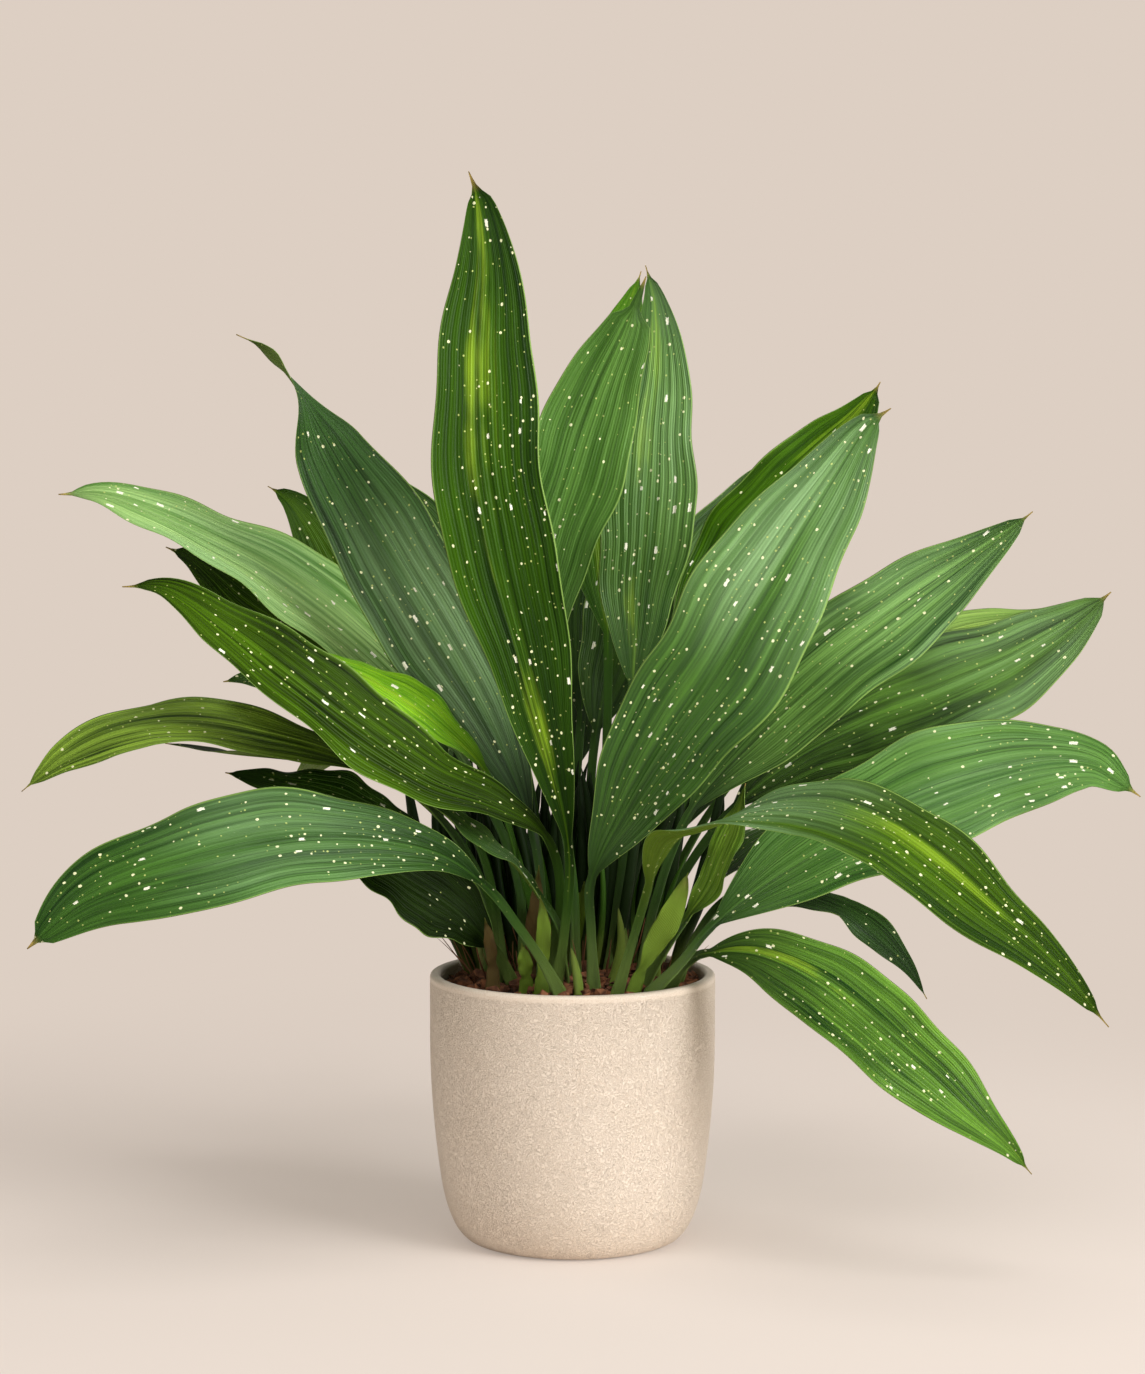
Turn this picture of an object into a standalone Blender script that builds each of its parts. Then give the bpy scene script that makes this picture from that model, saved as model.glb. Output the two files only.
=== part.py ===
"""A cast iron plant (Aspidistra) with speckled leaves, growing in a round stoneware pot.

Metres, +Z up. The origin is the centre of the pot's foot, on the surface that the pot stands on,
and the plant's front looks along -Y. Leaves and rhizomes are given in centimetres, because that is
how a grower would measure them, and are turned into metres where they are made.
"""

import math
from collections import namedtuple

import bmesh
import bpy
from mathutils import Vector
from mathutils.geometry import interpolate_bezier

CM = 0.01
TOUCH = 0.0003  # the gap kept between pieces that rest on each other

# The pot: a turned stoneware cylinder whose wall rounds in to a narrower foot.
POT_RADIUS = 0.095
POT_HEIGHT = 0.178
POT_WALL = 0.0072
POT_FLOOR = 0.010
FOOT_RADIUS = 0.066
LIP_ROUND = 0.0026
POT_SEGMENTS = 40

# The soil: a flat-topped mound that falls away to the wall.
SOIL_TOP = 0.1715
SOIL_EDGE = 0.1685
SOIL_FLAT_RADIUS = 0.074
SOIL_RADIUS = POT_RADIUS - POT_WALL - TOUCH

# The pot's wall as (radius, height) of its outside, from the foot up and from the lip down.
POT_OUTSIDE = [(FOOT_RADIUS, 0.0), (0.0730, 0.0025), (0.0780, 0.0085), (0.0822, 0.0175), (0.0857, 0.029),
               (0.0884, 0.044), (0.0920, 0.074), (0.0943, 0.105), (POT_RADIUS, 0.130)]
POT_INSIDE = [(POT_RADIUS, 0.150), (POT_RADIUS, 0.130), (0.0943, 0.105), (0.0920, 0.074), (0.0884, 0.044),
              (0.0857, 0.029), (0.0815, 0.018), (0.0745, 0.011), (0.0690, 0.010)]

# Leaves: every leaf is one loft, from the flattened stalk at the soil to the tip.
LEAF_STATIONS = 14
SHEATH_STATIONS = 7
STALK_WIDTH = 0.62  # cm
STALK_THICK = 0.42  # cm
SHEATH_WIDTH = 1.05  # cm, at the soil
SHEATH_LENGTH = 4.5  # cm
BLADE_THICK = 0.10  # cm
MIDRIB_THICK = 0.22  # cm, at the blade's base
TIP_WIDTH = 0.12  # cm
CURVE_STEPS = 14

LEAF_GREEN = (0.045, 0.13, 0.030)
SHEATH_GREEN = (0.16, 0.22, 0.07)

RHIZOME_RADIUS = 0.0085
RHIZOME_DEPTH = 0.85
RHIZOMES = {
    "rhizome_front": [(-2.6, -5.0), (-0.8, -6.1), (1.2, -5.7), (3.2, -6.1), (5.4, -5.0)],
    "rhizome_left": [(-5.6, -1.6), (-4.2, -2.6), (-2.2, -2.5), (-0.2, -2.4), (1.6, -2.6)],
    "rhizome_right": [(-1.6, 0.6), (0.6, 0.2), (3.0, 0.6), (5.0, -0.4), (6.4, -1.8)],
    "rhizome_back_left": [(-4.9, 1.4), (-4.2, 3.4), (-2.6, 4.9), (-0.6, 5.2), (0.4, 6.6)],
    "rhizome_back_right": [(1.0, 3.8), (2.6, 5.0), (4.2, 4.8), (5.6, 3.4)],
}
SHOOTS = {
    "shoot_low": ([(0.4, -6.5), (0.35, -6.4, 18.2), (0.1, -6.2, 19.6), (-0.1, -6.1, 20.4)], 0.32),
    "shoot_pale": ([(2.4, -3.6), (2.9, -3.5, 18.6), (3.2, -3.4, 20.4), (3.0, -3.4, 22.6)], 0.36),
}

FRONT, BACK = Vector((0, -1, 0)), Vector((0, 1, 0))
LEFT, RIGHT = Vector((-1, 0, 0)), Vector((1, 0, 0))
UP, DOWN = Vector((0, 0, 1)), Vector((0, 0, -1))

# stalk: the foot on the soil (x, y), then points up to the blade. blade: points from its base to the
# tip. width: the blade's widest. faces: where the upper surface looks, at even steps from the blade's
# base to its tip. trough: how far the midrib lies below the edges, as a share of the half width.
# wave: (height in cm, waves along the blade, phase in turns) of the rippled edges.
Leaf = namedtuple("Leaf", "stalk blade width faces peak trough wave lean",
                  defaults=(0.45, 0.10, (0.25, 2.0, 0.0), 2.0))

LEAVES = {
    "leaf_centre_tall": Leaf(
        [(-1.2, -5.6), (-0.6, -5.6, 20.8)],
        [(-0.2, -6.0, 26.2), (-1.2, -7.0, 32.4), (-2.8, -8.0, 39.2), (-4.4, -8.6, 46.0), (-5.4, -8.6, 52.2),
         (-5.6, -8.0, 58.2), (-5.4, -7.0, 64.0), (-5.8, -6.4, 68.0), (-6.6, -6.0, 70.2)],
        7.0, (FRONT, FRONT), 0.55),
    "leaf_left_high": Leaf(
        [(-2.0, -2.4), (-2.0, -2.2, 22.6)],
        [(-2.6, -2.0, 27.4), (-4.6, -2.4, 33.0), (-7.4, -3.0, 38.4), (-10.6, -3.4, 43.8), (-13.8, -3.4, 49.2),
         (-16.4, -3.0, 53.8), (-18.0, -2.8, 56.8), (-20.2, -2.6, 59.2), (-21.8, -2.4, 60.0)],
        7.2, (FRONT, FRONT, FRONT, FRONT, FRONT, FRONT, FRONT + RIGHT * 0.3, UP + RIGHT + BACK * 0.2,
              BACK + UP * 0.8 + RIGHT * 0.3), 0.46, lean=2.5),
    "leaf_left_reaching": Leaf(
        [(-3.2, 0.4), (-3.8, 1.0, 24.4)],
        [(-7.2, 1.0, 31.8), (-11.4, 1.2, 37.4), (-15.8, 1.2, 41.4), (-20.4, 1.0, 44.8), (-24.6, 0.6, 47.0),
         (-28.6, 0.2, 48.8), (-31.2, 0.0, 49.6), (-33.8, -0.4, 49.6)],
        7.0, (FRONT + UP * 0.4, FRONT * 0.7 + UP, FRONT * 0.6 + UP, FRONT * 0.6 + UP), 0.52),
    "leaf_left_sloping": Leaf(
        [(-2.0, -4.2), (-0.8, -4.6, 23.0)],
        [(-1.6, -5.4, 27.4), (-4.6, -6.8, 29.8), (-9.0, -8.0, 31.8), (-14.0, -9.2, 35.4), (-18.0, -10.0, 38.6),
         (-21.6, -10.0, 41.4), (-24.2, -10.0, 43.2), (-26.0, -9.8, 44.0), (-28.4, -9.6, 44.0)],
        6.6, (FRONT + UP, FRONT * 0.7 + UP, FRONT * 0.8 + UP, FRONT * 0.5 + UP), 0.48),
    "leaf_left_slim": Leaf(
        [(-0.2, -4.0), (-0.8, -5.2, 21.4)],
        [(-2.0, -5.2, 23.6), (-3.8, -5.4, 26.0), (-5.4, -5.8, 27.2), (-7.2, -6.0, 28.4), (-9.6, -6.2, 30.6),
         (-11.8, -6.2, 33.2)],
        2.4, (FRONT * 0.3 + UP, FRONT * 0.3 + UP)),
    "leaf_left_young": Leaf(
        [(-1.6, 1.2), (-3.2, -0.4, 24.0)],
        [(-5.6, -4.0, 31.6), (-9.0, -4.4, 35.2), (-12.2, -4.8, 37.4), (-15.2, -5.2, 38.8), (-17.6, -5.8, 39.4)],
        3.4, (FRONT * 0.6 + UP, FRONT * 0.6 + UP)),
    "leaf_left_back": Leaf(
        [(-3.2, 4.2), (-5.0, 5.4, 24.0)],
        [(-8.6, 5.8, 30.8), (-11.4, 6.0, 36.2), (-14.8, 6.0, 42.4), (-17.4, 5.8, 47.0), (-19.0, 5.6, 49.0),
         (-20.6, 5.6, 50.0)],
        6.5, (FRONT, FRONT)),
    "leaf_left_behind": Leaf(
        [(-4.6, 3.0), (-5.6, 2.6, 24.4)],
        [(-9.6, 2.6, 31.0), (-13.6, 3.0, 35.8), (-18.2, 3.2, 39.8), (-22.0, 3.2, 42.4), (-25.0, 3.0, 45.0),
         (-27.2, 3.0, 46.0)],
        6.8, (FRONT * 0.7 + UP * 0.7, FRONT * 0.7 + UP * 0.7)),
    "leaf_left_hidden": Leaf(
        [(-4.4, -1.0), (-6.0, -2.4, 26.2)],
        [(-10.0, -3.0, 32.4), (-14.4, -3.8, 35.6), (-18.4, -4.4, 37.2), (-20.8, -4.6, 37.8), (-22.6, -4.8, 37.6)],
        5.0, (FRONT * 0.4 + UP, FRONT * 0.4 + UP)),
    "leaf_left_level": Leaf(
        [(-5.0, -2.6), (-5.6, -2.4, 23.0)],
        [(-9.4, -3.6, 29.4), (-14.8, -4.8, 32.6), (-20.2, -5.8, 34.2), (-25.2, -6.8, 35.0), (-29.4, -7.4, 34.4),
         (-32.4, -7.8, 33.0), (-34.0, -8.0, 31.8), (-35.2, -8.0, 30.8)],
        5.6, (FRONT * 0.4 + UP, FRONT * 0.4 + UP, FRONT * 0.6 + UP, FRONT), 0.5, lean=2.4),
    "leaf_left_edge_on": Leaf(
        [(-4.6, 1.4), (-6.2, 0.0, 24.6)],
        [(-9.8, -1.0, 29.4), (-14.6, -2.4, 32.0), (-18.8, -3.4, 32.6), (-22.6, -4.2, 33.0), (-26.4, -4.8, 33.6)],
        4.6, (FRONT * 0.1 + UP, BACK * 0.1 + UP)),
    "leaf_left_shaded": Leaf(
        [(-5.4, -0.6), (-6.2, -1.2, 23.0)],
        [(-9.4, -2.0, 26.6), (-13.4, -2.8, 28.8), (-16.6, -3.4, 30.2), (-19.8, -3.8, 31.0), (-22.6, -4.0, 31.6)],
        4.4, (FRONT * 0.7 + UP * 0.6, FRONT * 0.5 + UP)),
    "leaf_left_arching": Leaf(
        [(-0.6, -6.8), (-2.0, -7.2, 19.8), (-3.6, -7.6, 22.2)],
        [(-5.2, -8.2, 24.4), (-8.0, -9.6, 26.8), (-11.6, -11.2, 28.0), (-16.0, -12.8, 28.4), (-20.0, -14.0, 28.0),
         (-23.6, -14.8, 27.2), (-27.2, -15.0, 26.2), (-30.6, -15.0, 24.6), (-33.8, -15.0, 21.8)],
        7.2, (FRONT + UP * 0.6, FRONT + UP * 0.7, FRONT + UP * 0.6, FRONT + UP * 0.4), 0.56),
    "leaf_left_low": Leaf(
        [(-3.8, -3.0), (-4.4, -3.2, 18.6)],
        [(-5.2, -3.6, 20.0), (-7.6, -4.6, 22.6), (-10.6, -5.6, 24.8), (-13.4, -6.4, 26.6), (-16.2, -7.0, 28.2)],
        5.6, (FRONT + UP * 0.8, FRONT + UP * 0.8)),
    "leaf_centre_pale": Leaf(
        [(0.2, -2.4), (0.0, -1.6, 24.2)],
        [(-1.8, -1.0, 35.0), (-2.2, -1.0, 41.4), (-1.4, -1.0, 46.0), (0.2, -1.0, 51.4), (1.8, -1.0, 56.2),
         (3.2, -1.0, 59.6), (4.2, -1.0, 62.2), (4.8, -1.0, 63.8)],
        6.4, (FRONT, FRONT), 0.54),
    "leaf_centre_behind": Leaf(
        [(1.4, 4.2), (2.2, 5.0, 28.8)],
        [(2.4, 5.0, 39.6), (2.2, 5.0, 47.8), (2.2, 5.0, 53.8), (3.0, 5.0, 59.2), (4.0, 5.0, 62.4), (4.6, 5.0, 64.4)],
        6.0, (FRONT, FRONT)),
    "leaf_centre_right": Leaf(
        [(2.4, 0.4), (3.6, 1.4, 27.8)],
        [(4.0, 1.4, 36.6), (4.4, 1.2, 42.6), (4.8, 1.0, 47.8), (5.2, 1.0, 53.8), (5.6, 1.0, 59.0), (5.4, 1.0, 62.4),
         (4.8, 1.0, 64.6)],
        6.4, (FRONT, FRONT)),
    "leaf_right_striped": Leaf(
        [(3.8, 1.4), (4.8, 2.4, 27.0)],
        [(6.6, 3.0, 36.0), (9.4, 3.6, 42.2), (12.8, 4.0, 47.0), (15.8, 4.0, 50.8), (18.4, 4.0, 53.6),
         (19.8, 4.0, 55.6), (20.6, 4.0, 57.0)],
        6.8, (FRONT + UP * 0.3, FRONT + UP * 0.3), 0.5),
    "leaf_right_broad": Leaf(
        [(1.4, -5.2), (1.2, -5.2, 21.4)],
        [(1.2, -6.0, 24.8), (3.2, -7.2, 29.2), (5.8, -8.8, 33.8), (8.8, -10.0, 38.4), (11.6, -10.6, 43.2),
         (14.4, -10.6, 47.8), (16.8, -10.2, 51.6), (18.6, -9.8, 54.2), (20.0, -9.6, 55.2)],
        8.6, (FRONT + UP * 0.2, FRONT + UP * 0.3, FRONT + UP * 0.3, FRONT), 0.5, lean=1.9),
    "leaf_right_high": Leaf(
        [(4.4, -2.4), (5.4, -2.8, 22.8)],
        [(7.6, -3.4, 28.8), (11.2, -4.2, 33.4), (15.4, -4.8, 37.6), (19.8, -5.2, 41.2), (24.2, -5.2, 44.4),
         (27.4, -5.2, 46.8), (29.6, -5.2, 48.6)],
        6.8, (FRONT + UP * 0.5, FRONT + UP * 0.5), 0.48),
    "leaf_right_middle": Leaf(
        [(5.2, 0.2), (6.6, 1.0, 22.6)],
        [(10.4, 0.4, 28.4), (15.0, 0.0, 32.2), (19.2, -0.2, 34.4), (23.8, -0.6, 36.2), (28.2, -0.8, 38.2),
         (31.6, -1.0, 40.2), (33.8, -1.0, 41.8), (35.4, -1.0, 43.2)],
        7.6, (FRONT + UP * 0.5, FRONT + UP * 0.5), 0.52),
    "leaf_right_pale": Leaf(
        [(4.8, 3.6), (7.4, 4.6, 24.6)],
        [(11.6, 4.4, 31.0), (16.6, 4.0, 35.2), (21.4, 3.6, 38.0), (26.0, 3.2, 40.0), (30.6, 3.0, 41.2),
         (34.6, 3.0, 42.2)],
        6.0, (FRONT * 0.5 + UP, FRONT * 0.5 + UP)),
    "leaf_right_wide": Leaf(
        [(4.8, -6.0), (7.0, -6.0, 19.4)],
        [(8.8, -6.0, 21.6), (11.6, -6.0, 24.0), (14.8, -6.0, 26.2), (18.6, -6.0, 28.4), (23.0, -6.2, 30.4),
         (27.2, -6.4, 31.8), (30.8, -6.8, 32.6), (33.4, -7.0, 32.4), (35.0, -7.2, 31.4), (36.4, -7.4, 30.4)],
        8.2, (FRONT + UP * 0.6, FRONT + UP * 0.6, FRONT + UP * 0.6, FRONT + UP * 0.4), 0.5),
    "leaf_right_twisted": Leaf(
        [(2.8, -6.6), (3.8, -7.2, 20.8)],
        [(4.8, -7.8, 24.4), (5.2, -8.6, 26.4), (6.0, -9.8, 28.0), (8.0, -12.0, 29.0), (10.6, -14.4, 30.2),
         (13.6, -16.6, 30.8), (16.2, -18.6, 30.6), (19.0, -20.4, 29.6), (21.8, -21.8, 27.6),
         (24.6, -23.0, 25.4), (27.2, -23.6, 23.4), (29.4, -24.0, 21.4), (31.8, -24.0, 18.6)],
        6.6, (BACK + LEFT * 0.5, BACK * 0.6 + UP * 0.6 + LEFT * 0.4, FRONT * 0.3 + UP, FRONT * 0.8 + UP,
              FRONT * 0.6 + UP, FRONT * 0.9 + UP * 0.8, FRONT + UP * 0.7, FRONT + UP * 0.6), 0.46),
    "leaf_right_low": Leaf(
        [(6.2, -4.4), (7.2, -5.0, 19.0)],
        [(8.6, -5.8, 20.0), (12.0, -7.4, 20.2), (15.8, -9.0, 18.6), (19.4, -10.4, 15.8), (22.8, -11.4, 13.0),
         (25.6, -12.0, 10.4), (27.6, -12.2, 8.6), (29.0, -12.4, 7.0)],
        6.0, (FRONT + UP * 0.6, FRONT + UP * 0.6)),
    "leaf_right_drooping": Leaf(
        [(6.8, -1.6), (8.2, -2.2, 20.6)],
        [(10.2, -2.8, 23.2), (12.8, -3.4, 23.8), (15.2, -4.0, 23.4), (17.6, -4.6, 22.6), (19.2, -5.0, 21.6),
         (21.0, -5.4, 20.0), (22.0, -5.6, 18.8), (23.0, -5.8, 17.0)],
        3.4, (FRONT * 0.8 + UP, FRONT * 0.3 + UP, FRONT + DOWN * 0.3), 0.35),
    "leaf_right_strap": Leaf(
        [(4.4, -4.2), (6.0, -4.6, 20.0)],
        [(7.4, -4.8, 22.2), (8.8, -5.0, 24.2), (9.8, -5.0, 26.6), (10.6, -5.0, 28.6), (11.2, -5.0, 31.0)],
        2.4, (FRONT + LEFT, FRONT + LEFT)),
    "leaf_back_centre_dark": Leaf(
        [(1.4, 5.4), (1.2, 6.8, 28.0)],
        [(1.6, 7.2, 33.0), (2.8, 8.0, 38.0), (4.4, 8.6, 43.0), (6.2, 9.0, 48.0), (7.6, 9.0, 52.0)],
        6.0, (FRONT, FRONT)),
    "leaf_back_centre_olive": Leaf(
        [(-0.6, 4.6), (0.0, 6.6, 26.0)],
        [(0.6, 9.4, 34.0), (1.2, 11.4, 40.0), (1.6, 13.2, 46.0), (2.0, 14.2, 51.0), (2.2, 14.6, 54.0)],
        6.0, (FRONT + UP * 0.3, FRONT + UP * 0.3)),
    "leaf_back_left_low": Leaf(
        [(-3.0, 5.8), (-4.6, 8.0, 21.0)],
        [(-6.0, 10.4, 25.0), (-9.0, 14.0, 28.4), (-12.4, 18.0, 30.4), (-16.0, 22.0, 30.4), (-19.0, 25.4, 28.8),
         (-21.4, 28.0, 26.0)],
        7.2, (UP, UP)),
    "leaf_back_right_low": Leaf(
        [(3.8, 5.6), (5.0, 8.0, 21.0)],
        [(6.6, 10.4, 25.0), (9.6, 14.0, 29.6), (13.4, 18.0, 32.4), (17.4, 21.4, 33.4), (21.4, 24.4, 32.4),
         (24.4, 26.4, 30.0)],
        7.4, (UP, UP)),
    "leaf_back_arching": Leaf(
        [(0.2, 6.8), (0.4, 9.2, 24.0)],
        [(0.2, 12.4, 30.0), (-0.2, 17.0, 35.4), (-0.8, 22.0, 38.8), (-1.6, 27.0, 40.0), (-2.4, 31.4, 39.0),
         (-3.2, 34.6, 36.4)],
        7.8, (FRONT * 0.3 + UP, UP)),
    "leaf_back_left_high": Leaf(
        [(-1.6, 5.8), (-2.4, 7.4, 26.0)],
        [(-3.6, 9.0, 32.0), (-6.2, 11.6, 38.6), (-9.4, 14.0, 44.0), (-12.6, 16.0, 48.6), (-15.4, 17.2, 52.0)],
        7.0, (FRONT + UP * 0.4, FRONT + UP * 0.4)),
    "leaf_back_right_high": Leaf(
        [(2.6, 6.4), (3.4, 8.0, 26.0)],
        [(4.8, 9.8, 32.0), (7.4, 12.4, 39.0), (10.4, 14.8, 45.0), (13.2, 16.8, 49.6), (15.6, 18.0, 52.4)],
        7.0, (FRONT + UP * 0.4, FRONT + UP * 0.4)),
    "leaf_back_far_left": Leaf(
        [(-4.8, 4.8), (-6.4, 6.8, 19.6)],
        [(-8.8, 8.4, 22.0), (-12.6, 10.6, 24.0), (-16.6, 12.6, 24.4), (-20.6, 14.6, 23.6), (-24.0, 16.0, 22.0),
         (-26.6, 17.0, 20.0)],
        6.6, (UP, UP)),
    "leaf_back_far_right": Leaf(
        [(5.6, 4.6), (7.0, 7.0, 19.6)],
        [(9.4, 8.6, 22.2), (13.0, 10.6, 25.0), (17.0, 12.6, 26.4), (21.0, 14.6, 26.6), (24.6, 16.0, 25.4),
         (27.4, 17.2, 23.4)],
        6.8, (UP, UP)),
    "sheath_pale": Leaf(
        [(-2.0, -6.0)],
        [(-2.0, -6.0, 18.4), (-1.9, -5.9, 20.6), (-1.9, -5.9, 22.4), (-2.1, -5.9, 23.8)],
        1.0, (FRONT, FRONT)),
    "sheath_broad": Leaf(
        [(3.9, -5.6)],
        [(4.3, -5.5, 18.4), (5.4, -5.3, 20.6), (6.6, -5.3, 22.8), (7.5, -5.3, 25.2)],
        1.6, (FRONT, FRONT), 0.5),
    "sheath_stub": Leaf(
        [(-3.0, -5.4)],
        [(-3.0, -5.4, 18.2), (-3.1, -5.4, 19.4), (-3.3, -5.4, 20.6)],
        1.0, (FRONT, FRONT), 0.4),
    "sheath_brown": Leaf(
        [(-2.8, -3.4)],
        [(-2.8, -3.4, 18.6), (-2.5, -3.4, 21.2), (-2.3, -3.3, 23.6), (-2.2, -3.2, 25.4)],
        1.2, (FRONT, FRONT), 0.4),
    "sheath_dry_left": Leaf(
        [(-5.2, -4.7)],
        [(-5.2, -4.7, 18.8), (-5.4, -4.8, 20.6), (-5.7, -5.0, 22.2)],
        0.8, (FRONT, FRONT), 0.4),
    "sheath_back": Leaf(
        [(0.4, 3.0)],
        [(0.4, 3.0, 18.6), (0.5, 3.2, 21.0), (0.8, 3.4, 23.4)],
        1.4, (FRONT, FRONT), 0.4),
}


def smooth_samples(points, steps=CURVE_STEPS):
    """Points along one smooth curve through the given ones, as (position in spans, point)."""
    last = len(points) - 1
    slopes = []
    for i in range(last + 1):
        before, after = points[max(i - 1, 0)], points[min(i + 1, last)]
        slopes.append((after - before).normalized())
    samples = []
    for i in range(last):
        reach = (points[i + 1] - points[i]).length / 3
        handles = points[i] + slopes[i] * reach, points[i + 1] - slopes[i + 1] * reach
        for step, point in enumerate(interpolate_bezier(points[i], *handles, points[i + 1], steps)):
            if step or not i:
                samples.append((i + step / (steps - 1), point))
    return samples


def even_stations(samples, count):
    """The samples taken again at count + 1 even distances: (position in spans, point, distance)."""
    distances = [0.0]
    for (_, a), (_, b) in zip(samples, samples[1:]):
        distances.append(distances[-1] + (b - a).length)
    stations, k = [], 0
    for i in range(count + 1):
        target = distances[-1] * i / count
        while k < len(samples) - 2 and distances[k + 1] < target:
            k += 1
        share = (target - distances[k]) / (distances[k + 1] - distances[k])
        (s0, p0), (s1, p1) = samples[k], samples[k + 1]
        stations.append((s0 + (s1 - s0) * share, p0.lerp(p1, share), target))
    return stations


def between(values, share):
    """The value at a share from 0 to 1 along an evenly spaced list, mixed from its two neighbours."""
    place = min(max(share, 0.0), 1.0) * (len(values) - 1)
    i = min(int(place), len(values) - 2)
    return values[i].lerp(values[i + 1], place - i)


def blade_outline(t, peak, lean):
    """The blade's width as a share of its widest, from its base at 0 to its tip at 1."""
    rise = lean * peak
    fall = lean * (1 - peak)
    return (t / peak) ** rise * ((1 - t) / (1 - peak)) ** fall


def leaf_rings(leaf, count):
    """The leaf's cross-sections, each a ring of 8 points in metres: four on its upper side, from the
    left edge, then four back along its lower side."""
    foot = leaf.stalk[0]
    floor = (SOIL_TOP + TOUCH) / CM
    points = [Vector((*foot, floor))] + [Vector(p) for p in (*leaf.stalk[1:], *leaf.blade)]
    samples = smooth_samples(points)
    stations = even_stations(samples, count)
    blade_from = next(d for s, _, d in even_stations(samples, 200) if s >= len(leaf.stalk))
    total = stations[-1][2]
    rings = []
    for i, (_, centre, distance) in enumerate(stations):
        t = (distance - blade_from) / (total - blade_from)
        in_blade = min(max(t, 0.0), 1.0)
        ahead, behind = stations[min(i + 1, count)][1], stations[max(i - 1, 0)][1]
        tangent = (ahead - behind).normalized()
        side = tangent.cross(between(leaf.faces, in_blade)).normalized()
        normal = side.cross(tangent)
        sheath = max(0.0, 1 - distance / SHEATH_LENGTH) ** 2
        stalk_half = (STALK_WIDTH + (SHEATH_WIDTH - STALK_WIDTH) * sheath) / 2
        blade_half = leaf.width / 2 * blade_outline(in_blade, leaf.peak, leaf.lean)
        taper = 1 - in_blade ** 0.5
        half = max(blade_half, stalk_half * taper, TIP_WIDTH / 2)
        rib = BLADE_THICK + (MIDRIB_THICK - BLADE_THICK) * (1 - in_blade)
        thick = STALK_THICK + (rib - STALK_THICK) * min(max(t / 0.12 + 1, 0), 1)
        web = STALK_THICK * 0.8 + (BLADE_THICK - STALK_THICK * 0.8) * min(max(t / 0.12 + 1, 0), 1)
        height, waves, phase = leaf.wave
        ripple = height * min(1, in_blade * 5) * min(1, (1 - in_blade) * 5)
        upper = [(-1, 0), (-0.5, web), (0, thick), (0.5, web)]
        lower = [(1, 0), (0.5, -web), (0, -thick), (-0.5, -web)]
        ring = []
        for across, depth in upper + lower:
            turn = waves * in_blade + phase + (0.35 if across > 0 else 0)
            lift = leaf.trough * half * across * across + depth / 2
            lift += ripple * across * across * math.sin(math.tau * turn)
            ring.append((centre + side * across * half + normal * lift) * CM)
        rings.append(ring)
    for point in rings[0]:
        point.z = SOIL_TOP + TOUCH
    return rings


def loft(name, rings, material, twisted=False):
    """A closed solid drawn through rings of equal size. A grid gives the skin: its rows are laid along
    the rings, its side seam is welded, and its two ends are filled. A twisted skin is split into
    triangles so that a thin leaf's two sides bend along the same lines."""
    around = len(rings[0])
    skin = bmesh.new()
    bmesh.ops.create_grid(skin, x_segments=around, y_segments=len(rings) - 1, size=1)
    skin.verts.ensure_lookup_table()
    for row, ring in enumerate(rings):
        for i in range(around + 1):
            skin.verts[row * (around + 1) + i].co = ring[i % around]
    if twisted:
        leaning = [face for i, face in enumerate(skin.faces) if i % around // 2 % 2]
        upright = [face for i, face in enumerate(skin.faces) if not i % around // 2 % 2]
        bmesh.ops.triangulate(skin, faces=leaning, quad_method="FIXED")
        bmesh.ops.triangulate(skin, faces=upright, quad_method="ALTERNATE")
    bmesh.ops.remove_doubles(skin, verts=skin.verts, dist=1e-7)
    bmesh.ops.holes_fill(skin, edges=[edge for edge in skin.edges if edge.is_boundary], sides=0)
    bmesh.ops.recalc_face_normals(skin, faces=skin.faces)
    mesh = bpy.data.meshes.new(name)
    skin.to_mesh(mesh)
    skin.free()
    obj = bpy.data.objects.new(name, mesh)
    bpy.context.scene.collection.objects.link(obj)
    colour, roughness = material
    paint = bpy.data.materials.new(name)
    paint.use_nodes = True
    shader = paint.node_tree.nodes["Principled BSDF"]
    shader.inputs["Base Color"].default_value = (*colour, 1)
    shader.inputs["Roughness"].default_value = roughness
    shader.inputs["Metallic"].default_value = 0.0
    mesh.materials.append(paint)
    return obj


def turned_rings(profile):
    """Circles about the Z axis, one for each (radius, height) of the profile."""
    turn = math.tau / POT_SEGMENTS
    return [[Vector((r * math.cos(i * turn), r * math.sin(i * turn), z)) for i in range(POT_SEGMENTS)]
            for r, z in profile]


def pot():
    outside = [(r, z) for r, z in POT_OUTSIDE]
    inside = [(r - POT_WALL, max(z, POT_FLOOR)) for r, z in POT_INSIDE]
    lip = [(POT_RADIUS, POT_HEIGHT - LIP_ROUND), (POT_RADIUS - 0.0008, POT_HEIGHT - 0.0008),
           (POT_RADIUS - LIP_ROUND, POT_HEIGHT), (POT_RADIUS - POT_WALL + LIP_ROUND, POT_HEIGHT),
           (POT_RADIUS - POT_WALL + 0.0008, POT_HEIGHT - 0.0008), (POT_RADIUS - POT_WALL, POT_HEIGHT - LIP_ROUND)]
    return loft("pot", turned_rings(outside + lip + inside), ((0.62, 0.52, 0.40), 0.6))


def soil():
    wall = [(r - POT_WALL - TOUCH, max(z, POT_FLOOR) + TOUCH) for r, z in reversed(POT_INSIDE)]
    wall[-1] = (SOIL_RADIUS, SOIL_EDGE)
    mound = [(SOIL_RADIUS - 0.003, SOIL_EDGE + 0.0006), (SOIL_FLAT_RADIUS + 0.004, SOIL_TOP - 0.0005),
             (SOIL_FLAT_RADIUS, SOIL_TOP)]
    return loft("potting_soil", turned_rings(wall + mound), ((0.055, 0.032, 0.020), 0.95))


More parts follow.
